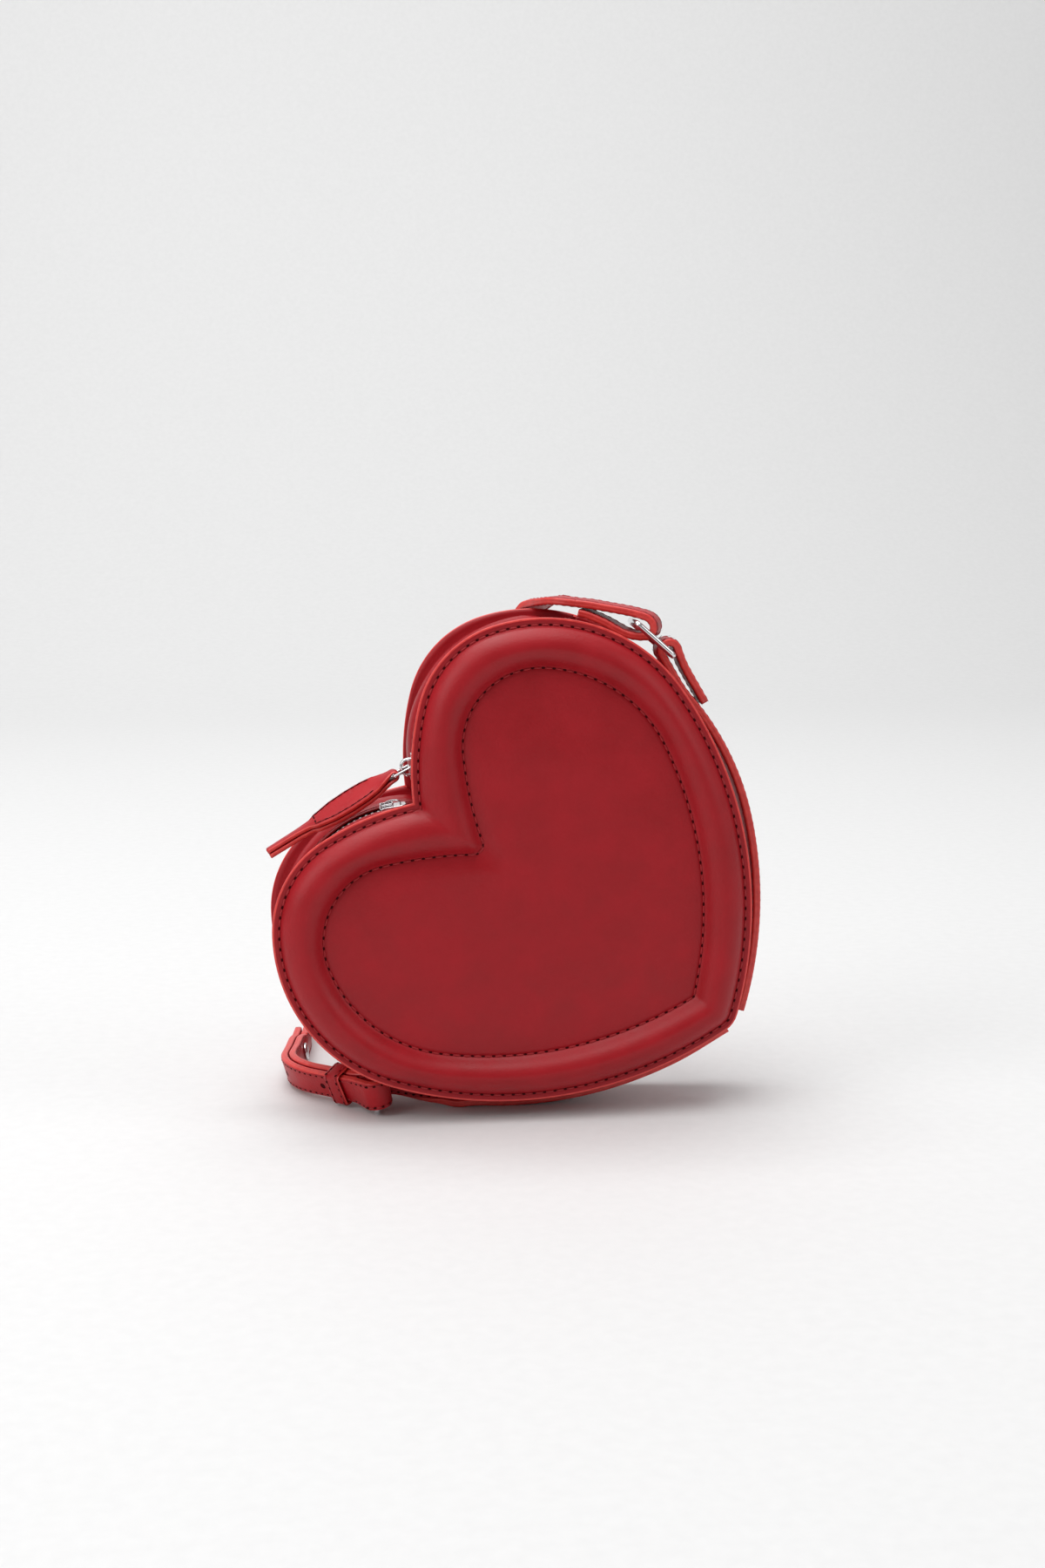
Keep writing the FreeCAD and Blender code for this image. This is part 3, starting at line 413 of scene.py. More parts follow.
def skin(rows: Sequence[Sequence[Vector]], closed: bool, bands: Optional[Sequence[int]] = None,
         painted: int = 0) -> bmesh.types.BMesh:
    """Extrude a first row of edges through all the rows that follow.

    Args:
        rows: rows of points with the same count.
        closed: whether each row is a loop.
        bands: material index for each edge of a row.
        painted: how many of the first strips of faces have the second material.

    Returns:
        A bmesh that the caller finishes.
    """
    mesh = bmesh.new()
    line = [mesh.verts.new(point) for point in rows[0]]
    pairs = list(zip(line, line[1:] + line[:1])) if closed else list(zip(line, line[1:]))
    edges = [mesh.edges.new(pair) for pair in pairs]
    order = {vert: place for place, vert in enumerate(line)}
    for number, row in enumerate(rows[1:]):
        grown = bmesh.ops.extrude_edge_only(mesh, edges=edges)["geom"]
        fresh_order = {}
        for vert in (item for item in grown if isinstance(item, bmesh.types.BMVert)):
            old = next(edge.other_vert(vert) for edge in vert.link_edges if edge.other_vert(vert) in order)
            fresh_order[vert] = order[old]
            vert.co = row[order[old]]
        for face in (item for item in grown if isinstance(item, bmesh.types.BMFace)):
            ends = sorted(order[vert] for vert in face.verts if vert in order)
            wraps = closed and ends == [0, len(line) - 1]
            face.material_index = bands[ends[1] if wraps else ends[0]] if bands else int(number < painted)
        edges = [item for item in grown if isinstance(item, bmesh.types.BMEdge)]
        order = fresh_order
    return mesh


def close_ends(mesh: bmesh.types.BMesh, material: int = 0) -> None:
    """Fill the open ends of a tube.

    Args:
        mesh: the tube.
        material: material index of the new faces.
    """
    rim = [edge for edge in mesh.edges if edge.is_boundary]
    for face in bmesh.ops.holes_fill(mesh, edges=rim, sides=0)["faces"]:
        face.material_index = material


def gather(mesh: bmesh.types.BMesh, centre: Vector) -> None:
    """Fill the innermost row of a sheet with faces that meet in one point.

    Args:
        mesh: sheet whose innermost row lies close to the centre, with its other boundary further away.
        centre: the point.
    """
    rim = [edge for edge in mesh.edges if edge.is_boundary]
    inner = [edge for edge in rim if (edge.verts[0].co - centre).length < GATHER_REACH]
    grown = bmesh.ops.extrude_edge_only(mesh, edges=inner)["geom"]
    verts = [item for item in grown if isinstance(item, bmesh.types.BMVert)]
    bmesh.ops.pointmerge(mesh, verts=verts, merge_co=centre)


def level_edges(mesh: bmesh.types.BMesh) -> list[bmesh.types.BMEdge]:
    """Edges that lie level, as the rims of a plate do."""
    return [edge for edge in mesh.edges if abs(edge.verts[0].co.z - edge.verts[1].co.z) < 1e-7]


def round_off(mesh: bmesh.types.BMesh, edges: Sequence[bmesh.types.BMEdge], radius: float,
              segments: int) -> None:
    """Round edges off.

    Args:
        mesh: the mesh that they are part of.
        edges: the edges.
        radius: size of the rounding in millimetres.
        segments: faces across each rounded edge.
    """
    bmesh.ops.bevel(mesh, geom=edges, offset=radius * MM, affect="EDGES", segments=segments, profile=0.5,
                    material=-1)


class Workshop:
    """Turns bmeshes into pieces that ride on the frame."""

    def __init__(self, finishes: Finishes) -> None:
        """Keep the finishes at hand."""
        self.finishes = finishes

    @property
    def cut_leather(self) -> list[bpy.types.Material]:
        """Leather with its painted cut edge."""
        return [self.finishes.leather, self.finishes.edge]

    def piece(self, name: str, mesh: bmesh.types.BMesh, materials: Sequence[bpy.types.Material],
              facing: Optional[Vector] = None, ready: bool = False) -> bpy.types.Object:
        """Make an object from a bmesh.

        Args:
            name: the piece's name.
            mesh: its shape, freed here.
            materials: its material slots.
            facing: for an open sheet, the way its outer side looks.
            ready: whether its normals are right and its points joined already.

        Returns:
            The new object.
        """
        if not ready:
            bmesh.ops.remove_doubles(mesh, verts=mesh.verts, dist=1e-6)
            bmesh.ops.recalc_face_normals(mesh, faces=mesh.faces)
        if facing is not None:
            total = sum((face.normal.dot(facing) * face.calc_area() for face in mesh.faces), 0.0)
            if total < 0:
                bmesh.ops.reverse_faces(mesh, faces=mesh.faces)
        for face in mesh.faces:
            face.smooth = True
        data = bpy.data.meshes.new(name)
        mesh.to_mesh(data)
        mesh.free()
        for material in materials:
            data.materials.append(material)
        made = bpy.data.objects.new(name, data)
        bpy.context.scene.collection.objects.link(made)
        return made

    def thicken(self, made: bpy.types.Object, thick: float, rim: int = 0) -> None:
        """Give a sheet its thickness, grown inwards.

        Args:
            made: the sheet.
            thick: thickness in millimetres.
            rim: how many slots further the cut edge's material is.
        """
        wall = made.modifiers.new("thickness", "SOLIDIFY")
        wall.thickness = thick * MM
        wall.offset = -1.0
        wall.use_rim = True
        wall.use_even_offset = False
        wall.material_offset_rim = rim

    def set_on(self, made: bpy.types.Object, body: str, nodes: Sequence[str] = (),
               slot: str = "red_leather") -> None:
        """Let a piece ride on a body and stand for its nodes.

        Args:
            made: the piece.
            body: the body that it moves with.
            nodes: nodes that it replaces.
            slot: the record's material slot; not used.
        """
        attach(made, body)
        if nodes:
            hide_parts(*nodes)
        LOG.info("%s on %s", made.name, body)


# Shapes of the purse

def spread(points: Sequence[Point], count: int) -> list[Point]:
    """Place points evenly along a line of points.

    Args:
        points: the line.
        count: how many spaces.

    Returns:
        count + 1 points from end to end.
    """
    marks = [0.0]
    for first, second in zip(points, points[1:]):
        marks.append(marks[-1] + math.dist(first, second))
    placed = []
    index = 0
    for step in range(count + 1):
        goal = marks[-1] * step / count
        while index < len(points) - 2 and marks[index + 1] < goal:
            index += 1
        share = (goal - marks[index]) / max(marks[index + 1] - marks[index], 1e-9)
        first, second = points[index], points[index + 1]
        placed.append((first[0] + (second[0] - first[0]) * share, first[1] + (second[1] - first[1]) * share))
    return placed


@dataclass(frozen=True)
class HeartLine:
    """Half of a heart as tangent arcs from its tip to its cleft, mirrored for the other half."""

    STEPS: ClassVar[int] = 60

    radii: tuple[float, ...]
    starts: tuple[float, ...]
    tip: float
    fillet: float = 0.0

    def arcs(self, inset: float) -> list[tuple[float, float, float, float, float]]:
        """Arcs of the right half, moved inwards.

        Args:
            inset: distance inwards in millimetres.

        Returns:
            Centre across, centre up, radius, start and end angle in radians of each arc.
        """
        across, up = 0.0, self.tip
        found = []
        for number, (radius, start) in enumerate(zip(self.radii, self.starts)):
            first = math.radians(start)
            middle = (across - radius * math.cos(first), up - radius * math.sin(first))
            if number + 1 < len(self.radii):
                last = math.radians(self.starts[number + 1])
            else:
                last = math.acos(-middle[0] / (radius - inset))
            across, up = middle[0] + radius * math.cos(last), middle[1] + radius * math.sin(last)
            if radius - inset < 0.4:
                continue
            sharp = not found and (number > 0 or self.starts[0] > -90)
            begin = -math.acos(-middle[0] / (radius - inset)) if sharp else first
            found.append((*middle, radius - inset, begin, last))
        if self.fillet > 0 and self.fillet + inset > 0.2:
            across, up, radius, begin, _ = found[-1]
            high = up + math.sqrt((radius + self.fillet + inset) ** 2 - across ** 2)
            found[-1] = (across, up, radius, begin, math.atan2(high - up, -across))
            found.append((0.0, high, self.fillet + inset, math.atan2(up - high, across), -math.pi / 2))
        return found

    def half(self, inset: float, count: int, first: int = 0, start: Optional[float] = None,
             stop: Optional[tuple[int, float]] = None) -> list[Point]:
        """Even points along the right half.

        Args:
            inset: distance inwards in millimetres.
            count: number of spaces.
            first: arc to begin with.
            start: angle in degrees to begin at on that arc.
            stop: arc and angle in degrees to end at.

        Returns:
            Points across and up, in millimetres.
        """
        line: list[Point] = []
        for number, (across, up, radius, begin, end) in enumerate(self.arcs(inset)):
            if number < first or (stop and number > stop[0]):
                continue
            if number == first and start is not None:
                begin = math.radians(start)
            if stop and number == stop[0]:
                end = math.radians(stop[1])
            for step in range(self.STEPS + 1):
                angle = begin + (end - begin) * step / self.STEPS
                line.append((across + radius * math.cos(angle), up + radius * math.sin(angle)))
        return spread(line, count)

    def round_tip(self, inset: float, count: int, stop: tuple[int, float]) -> list[Point]:
        """Even points round the tip, from a stop on the left half to the same stop on the right."""
        right = self.half(inset, count, stop=stop)
        return [(-across, up) for across, up in reversed(right[1:])] + right

    def ring(self, inset: float, count: int) -> list[Point]:
        """Even points round the whole heart, from the tip up the right side and down the left."""
        right = self.half(inset, count)
        return right + [(-across, up) for across, up in reversed(right[1:-1])]


EDGE = HeartLine((11.3, 155.7, 66.9, 42.2, 109.1), (-90.0, -69.4, -18.3, 53.6, 111.9), 0.0)
INNER = HeartLine((152.2, 56.2, 30.3, 153.9), (-66.7, -27.5, 33.0, 131.3), 20.1, 3.8)
LOBE_ACROSS, LOBE_UP, LOBE_RADIUS = 44.5, 124.0, 51.0
HALF_DEPTH = 23.0
REST_HEIGHT = 36.1


def joint_of(name: str) -> tuple[Vector, Vector]:
    """Place and axis of a joint of the frame."""
    joint = next(item for item in frame["joints"] if item["name"] == name)
    return Vector(joint["pos_m"]), Vector(joint["axis"]).normalized()


class HeartFrame:
    """The heart's own axes in the frame: across, back and up from the tip."""

    def __init__(self) -> None:
        """Read the tip and the tilt from the front's joint."""
        self.tip, self.across = joint_of("front_open")
        self.up = self.across.cross(Y_AXIS).normalized() * -1
        if self.up.z < 0:
            self.up.negate()
        self.floor = Vector((self.tip.x, self.tip.y, self.tip.z - REST_HEIGHT * MM))

    def at(self, across: float, back: float, up: float) -> Vector:
        """Point of the frame in metres from heart sizes in millimetres."""
        return self.tip + (self.across * across + Y_AXIS * back + self.up * up) * MM

    def line(self, points: Sequence[Point], back: float) -> list[Vector]:
        """Points of the frame from heart points that share one depth."""
        return [self.at(across, back, up) for across, up in points]

    def on_floor(self, right: float, back: float, height: float) -> Vector:
        """Point of the frame in metres from floor sizes in millimetres under the tip."""
        return self.floor + Vector((right, back, height)) * MM

    def way(self, across: float, up: float) -> Vector:
        """Direction in the heart's plane."""
        return self.across * across + self.up * up


@dataclass(frozen=True)
class Station:
    """One place along a band: where it is, which way it runs and which way its width lies."""

    place: Vector
    ahead: Vector
    width: Vector


class Route:
    """A plane route of straight runs and turns, sampled as it goes."""

    def __init__(self, start: Point, heading: float, step: float = 2.0) -> None:
        """Begin at a point, heading in degrees, with a sampling step in millimetres."""
        self.point = start
        self.heading = math.radians(heading)
        self.step = step
        self.samples: list[tuple[Point, float]] = [(start, self.heading)]

    def follow(self, moves: Sequence[tuple[float, ...]]) -> "Route":
        """Go through the moves: (length,) runs straight, (radius, degrees) turns, left when positive."""
        for move in moves:
            if len(move) == 1:
                self._run(move[0])
            else:
                self._turn(*move)
        return self

    def _run(self, length: float) -> None:
        """Go straight on."""
        count = max(1, round(length / self.step))
        across, up = self.point
        for number in range(1, count + 1):
            part = length * number / count
            self.point = (across + part * math.cos(self.heading), up + part * math.sin(self.heading))
            self.samples.append((self.point, self.heading))

    def _turn(self, radius: float, degrees: float) -> None:
        """Follow an arc."""
        angle = math.radians(degrees)
        way = math.copysign(1.0, degrees)
        side = self.heading + way * math.pi / 2
        middle = (self.point[0] + radius * math.cos(side), self.point[1] + radius * math.sin(side))
        count = max(4, round(radius * abs(angle) / self.step), round(abs(degrees) / 12))
        start = self.heading
        for number in range(1, count + 1):
            self.heading = start + angle * number / count
            back = self.heading - way * math.pi / 2
            self.point = (middle[0] + radius * math.cos(back), middle[1] + radius * math.sin(back))
            self.samples.append((self.point, self.heading))


def between(table: Sequence[Point], value: float) -> float:
    """Read a table of pairs at a value, straight between its entries and level beyond them."""
    for (first, low), (last, high) in zip(table, table[1:]):
        if value < last:
            return low + (high - low) * max(0.0, (value - first) / (last - first))
    return table[-1][1]


def smooth_line(points: Sequence[Vector], steps: int) -> list[Vector]:
    """Points along a curve through every given point.

    Args:
        points: the given points.
        steps: spaces between two of them.

    Returns:
        The points of the curve.
    """
    padded = [points[0] * 2 - points[1], *points, points[-1] * 2 - points[-2]]
    curve = []
    for before, start, end, after in zip(padded, padded[1:], padded[2:], padded[3:]):
        for step in range(steps):
            t = step / steps
            bend = (end - before) * t + (before * 2 - start * 5 + end * 4 - after) * t ** 2
            curve.append(start + (bend + (start * 3 - before - end * 3 + after) * t ** 3) * 0.5)
    return [*curve, points[-1]]


def stationed(places: Sequence[Vector], sides: Sequence[Vector]) -> list[Station]:
    """Stations through places, as wide as each side asks for.

    Args:
        places: points along the band.
        sides: the way its width should lie at each.

    Returns:
        The stations, with the width square to the way ahead.
    """
    stations = []
    for index, (place, side) in enumerate(zip(places, sides)):
        ahead = (places[min(index + 1, len(places) - 1)] - places[max(index - 1, 0)]).normalized()
        stations.append(Station(place, ahead, (side - ahead * side.dot(ahead)).normalized()))
    return stations


def ribbon(points: Sequence[Vector], widths: Sequence[Vector], steps: int = 6) -> list[Station]:
    """Stations along a twisting band through a few points, with some steps between two of them."""
    return stationed(smooth_line(points, steps), smooth_line(widths, steps))


@dataclass
class Stitching:
    """Rows of thread: short rounded stitches with a dark disc of painted shade for the needle holes, one at
    the end of each.
    """

    shop: Workshop
    length: float = 3.0
    width: float = 0.85
    height: float = 0.7
    pitch: float = 4.2
    # Radius of the dark disc of painted shade at the end of each stitch
    hole: float = 0.48
    # Whether the stitches take the thread darkened with painted shade
    dark: bool = False

    def stitch(self) -> bpy.types.Mesh:
        """Make one stitch along Z with its outer side to Y.

        Returns:
            A small mesh, with the dark disc of painted shade where the thread goes in, in the second
            material.
        """
        mesh = bmesh.new()
        bmesh.ops.create_uvsphere(mesh, u_segments=6, v_segments=6, radius=0.5 * MM)
        bmesh.ops.scale(mesh, vec=(self.width, self.height, self.length), verts=mesh.verts)
        turned = Matrix.Rotation(-math.pi / 2, 4, "X")
        lying = Matrix.Translation((0.0, 0.05 * MM, self.pitch / 2 * MM)) @ turned
        # The painted shade disc is drawn half as long again along the row, so that it takes in the stitch's
        # own shadow too
        long_hole = lying @ Matrix.Diagonal((1.0, 1.5, 1.0, 1.0))
        ring = bmesh.ops.create_circle(mesh, cap_ends=True, segments=8, radius=self.hole * MM,
                                       matrix=long_hole)
        for face in {face for vert in ring["verts"] for face in vert.link_faces}:
            face.material_index = 1
        data = bpy.data.meshes.new("stitch")
        mesh.to_mesh(data)
        mesh.free()
        return data

    def sew(self, mesh: bmesh.types.BMesh, line: StitchRow) -> None:
        """Add the stitches of one row.

        Args:
            mesh: bmesh that collects the stitches.
            line: points and outward normals along the row, close together.
        """
        marks = [0.0]
        for (first, _), (second, _) in zip(line, line[1:]):
            marks.append(marks[-1] + (second - first).length)
        count = max(1, round(marks[-1] / (self.pitch * MM)))
        pitch = marks[-1] / count
        stitch = self.stitch()
        index = 0
        for number in range(count):
            goal = (number + 0.5) * pitch
            while index < len(line) - 2 and marks[index + 1] < goal:
                index += 1
            (first, normal), (second, _) = line[index], line[index + 1]
            ahead = second - first
            share = (goal - marks[index]) / max(ahead.length, 1e-9)
            place = first + ahead * share
            ahead.normalize()
            out = (normal - ahead * normal.dot(ahead)).normalized()
            turned = Matrix((out.cross(ahead), out, ahead)).transposed().to_4x4()
            laid = stitch.copy()
            laid.transform(Matrix.Translation(place) @ turned)
            mesh.from_mesh(laid)
            bpy.data.meshes.remove(laid)
        bpy.data.meshes.remove(stitch)

    def make(self, name: str, rows: Sequence[StitchRow]) -> bpy.types.Object:
        """Make one piece of several rows.

        Args:
            name: the piece's name.
            rows: the rows.

        Returns:
            The piece, not yet on a body.
        """
        mesh = bmesh.new()
        for row in rows:
            self.sew(mesh, row)
        finishes = self.shop.finishes
        # The darker thread stands for the shade that the stitches lie in: painted shade
        thread = finishes.dark_thread if self.dark else finishes.thread
        return self.shop.piece(name, mesh, [thread, finishes.hole], ready=True)

    def piece(self, name: str, rows: Sequence[StitchRow], body: str) -> None:
        """Make one piece of several rows that rides on a body."""
        self.shop.set_on(self.make(name, rows), body)


# Sub-assemblies

@dataclass
class Panels:
    """Front and back leather, with the front formed over a padded roll between two rows of stitches."""

    # The roll is steep at its outer seam and falls more gently to the inner one
    ROLL: ClassVar[tuple[Point, ...]] = (
        (0.025, 0.75), (0.063, 1.75), (0.114, 2.85), (0.177, 3.9), (0.253, 4.85), (0.335, 5.6), (0.424, 6.1),
        (0.5, 6.3), (0.56, 6.2), (0.62, 5.9), (0.69, 5.3), (0.753, 4.55), (0.81, 3.65), (0.861, 2.65),
        (0.905, 1.7), (0.943, 0.95), (0.975, 0.45), (1.0, 0.25))
    # Inset and height of the rounded cut edge of both panels
    CUT: ClassVar[tuple[Point, ...]] = ((0.05, -0.5), (0.15, -0.15), (0.45, 0.0), (0.85, 0.03))

    shop: Workshop
    heart: HeartFrame
    points: int = 150
    thick: float = 1.3
    stitch_inset: float = 2.9
    roll_inset: float = 3.3
    roll_width: float = 15.8
    flat_inset: float = 1.8
    lining_inset: float = 9.5
    lining_depth: float = 3.1
    lining_rings: int = 12
    rings: int = 22
    middle: Point = (0.0, 96.0)

    def across_roll(self, share: float) -> list[Point]:
        """Ring at a share of the way over the padded roll, from its outer seam to its inner one."""
        outer = EDGE.ring(self.roll_inset + self.roll_width * share, self.points)
        inner = INNER.ring(-self.roll_width * (1 - share), self.points)
        mix = share * share * (3 - 2 * share)
        return [(a + (c - a) * mix, b + (d - b) * mix) for (a, b), (c, d) in zip(outer, inner)]

    def foam(self) -> None:
        """Build the foam roll under the front leather."""
        top = [(share, rise - 1.9) for share, rise in self.ROLL if rise > 2.6]
        section = [*top, (top[-1][0], 0.3), (top[0][0], 0.3), top[0]]
        rows = [self.heart.line(self.across_roll(share), -HALF_DEPTH - rise) for share, rise in section]
        made = self.shop.piece("bead_foam_roll", skin(rows, closed=True), [self.shop.finishes.foam])
        self.shop.set_on(made, "front", ["front_bead_foam"], "foam")

    def rows(self) -> list[list[Vector]]:
        """Rows of the front from its cut edge over the roll to the inner stitches.

        Returns:
            Rows of points round the heart.
        """
        rim = [*self.CUT, (1.6, 0.05), (2.3, -0.02), (2.7, -0.2), (3.0, -0.25), (self.roll_inset, 0.05)]
        lines = [(EDGE.ring(inset, self.points), rise) for inset, rise in rim]
        lines += [(self.across_roll(share), rise) for share, rise in self.ROLL]
        for inset, rise in ((0.4, 0.45), (0.9, 0.75), (self.flat_inset, 0.95)):
            lines.append((INNER.ring(inset, self.points), rise))
        return [self.heart.line(line, -HALF_DEPTH - rise) for line, rise in lines]

    def _sheet(self, rows: list[list[Vector]], last: list[Point], side: float,
               face: Height) -> bmesh.types.BMesh:
        """Carry a ring of rows on to the middle of the heart.

        Args:
            rows: rows made so far.
            last: innermost ring in millimetres.
            side: sign of the half's depth.
            face: height over the flat edge from across, up and share of the way to the middle.

        Returns:
            The sheet.
        """
        for step in range(1, self.rings):
            share = step / self.rings
            ring = []
            for across, up in last:
                there = (across + (self.middle[0] - across) * share, up + (self.middle[1] - up) * share)
                ring.append(self.heart.at(there[0], side * (HALF_DEPTH + face(*there, share)), there[1]))
            rows.append(ring)
        mesh = skin(rows, closed=True, painted=3)
        centre = self.heart.at(self.middle[0], side * (HALF_DEPTH + face(*self.middle, 1.0)), self.middle[1])
        gather(mesh, centre)
        return mesh

    def pillow(self, across: float, up: float, share: float) -> float:
        """Height of the front inside the inner stitches, with soft creases in the upper lobe."""
        swell = 1.0 + 1.2 * (1 - (1 - min(1.0, share * 2.2)) ** 2)
        crease = noise.noise(Vector((across / 17, up / 30 + 3.7, 0.3))) * 0.35
        upper = max(0.0, min(1.0, (across + up * 0.55 - 60) / 60))
        return swell + crease * min(1.0, share * 4) * (0.35 + 0.65 * upper)

    def front(self) -> None:
        """Build the padded front."""
        mesh = self._sheet(self.rows(), INNER.ring(self.flat_inset, self.points), -1.0,
                           lambda across, up, share: self.pillow(across, up, share) - 0.05)
        made = self.shop.piece("front_leather", mesh, self.shop.cut_leather, -Y_AXIS)
        self.shop.thicken(made, self.thick, rim=1)
        self.shop.set_on(made, "front", ["front_panel"])
        rows_of_thread = [self.row(EDGE, self.stitch_inset, -1.0, 0.0), self.row(INNER, 0.0, -1.0, 0.45)]
        Stitching(self.shop).piece("front_stitches", rows_of_thread, "front")

    def back(self) -> None:
        """Build the flat back."""
        seam_end = 7.0
        profile = [*self.CUT, (1.8, 0.05), (2.6, -0.1), (3.0, -0.2), (3.4, 0.0), (4.4, 0.25), (seam_end, 0.4)]
        rows = [self.heart.line(EDGE.ring(inset, self.points), HALF_DEPTH + rise) for inset, rise in profile]
        mesh = self._sheet(rows, EDGE.ring(seam_end, self.points), 1.0,
                           lambda across, up, share: 0.4 + 0.8 * (1 - (1 - min(1.0, 2 * share)) ** 2)
                           + 0.2 * noise.noise(Vector((across / 26, up / 30, 5.1))))
        made = self.shop.piece("back_leather", mesh, self.shop.cut_leather, Y_AXIS)
        self.shop.thicken(made, self.thick, rim=1)
        self.shop.set_on(made, "bag", ["back_panel"])
        Stitching(self.shop).piece("back_stitches", [self.row(EDGE, self.stitch_inset, 1.0, 0.0)], "bag")

    def row(self, line: HeartLine, inset: float, side: float, rise: float) -> list[tuple[Vector, Vector]]:
        """Stitch line round the heart with its outward normals.

        Args:
            line: the heart line.
            inset: distance inwards from it.
            side: sign of the half's depth.
            rise: height over the flat edge.

        Returns:
            Points and normals.
        """
        ring = line.ring(inset, self.points * 2)
        out = Y_AXIS * side
        placed = [(self.heart.at(across, side * (HALF_DEPTH + rise), up), out) for across, up in ring]
        return [*placed, placed[0]]

    def linings(self) -> None:
        """Cloth behind each panel."""
        for half in Half:
            depth = half.side * (HALF_DEPTH - self.lining_depth)
            ring = EDGE.ring(self.lining_inset, 90)
            rows = []
            for step in range(self.lining_rings):
                share = step / self.lining_rings
                row = []
                for across, up in ring:
                    wave = half.side * 0.25 * noise.noise(Vector((across / 9, up / 9, share * 5)))
                    row.append(self.heart.at(across + (self.middle[0] - across) * share, depth + wave,
                                             up + (self.middle[1] - up) * share))
                rows.append(row)
            mesh = skin(rows, closed=True)
            gather(mesh, self.heart.at(self.middle[0], depth, self.middle[1]))
            name = half.label + "_lining_cloth"
            made = self.shop.piece(name, mesh, [self.shop.finishes.lining], Y_AXIS * -half.side)
            self.shop.thicken(made, 0.4)
            self.shop.set_on(made, half.body, [half.label + "_lining"], "lining_cloth")

    def build(self) -> None:
        """Build and dress the panels and what lies behind them."""
        self.front()
        self.back()
        self.linings()
        self.foam()
        for node in ("front_board", "back_board"):
            dress(node, self.shop.finishes.board)


def dress(node: str, finish: bpy.types.Material) -> None:
    """Give a node of the frame its finish."""
    data = frame["nodes"][node].data
    data.materials.clear()
    data.materials.append(finish)


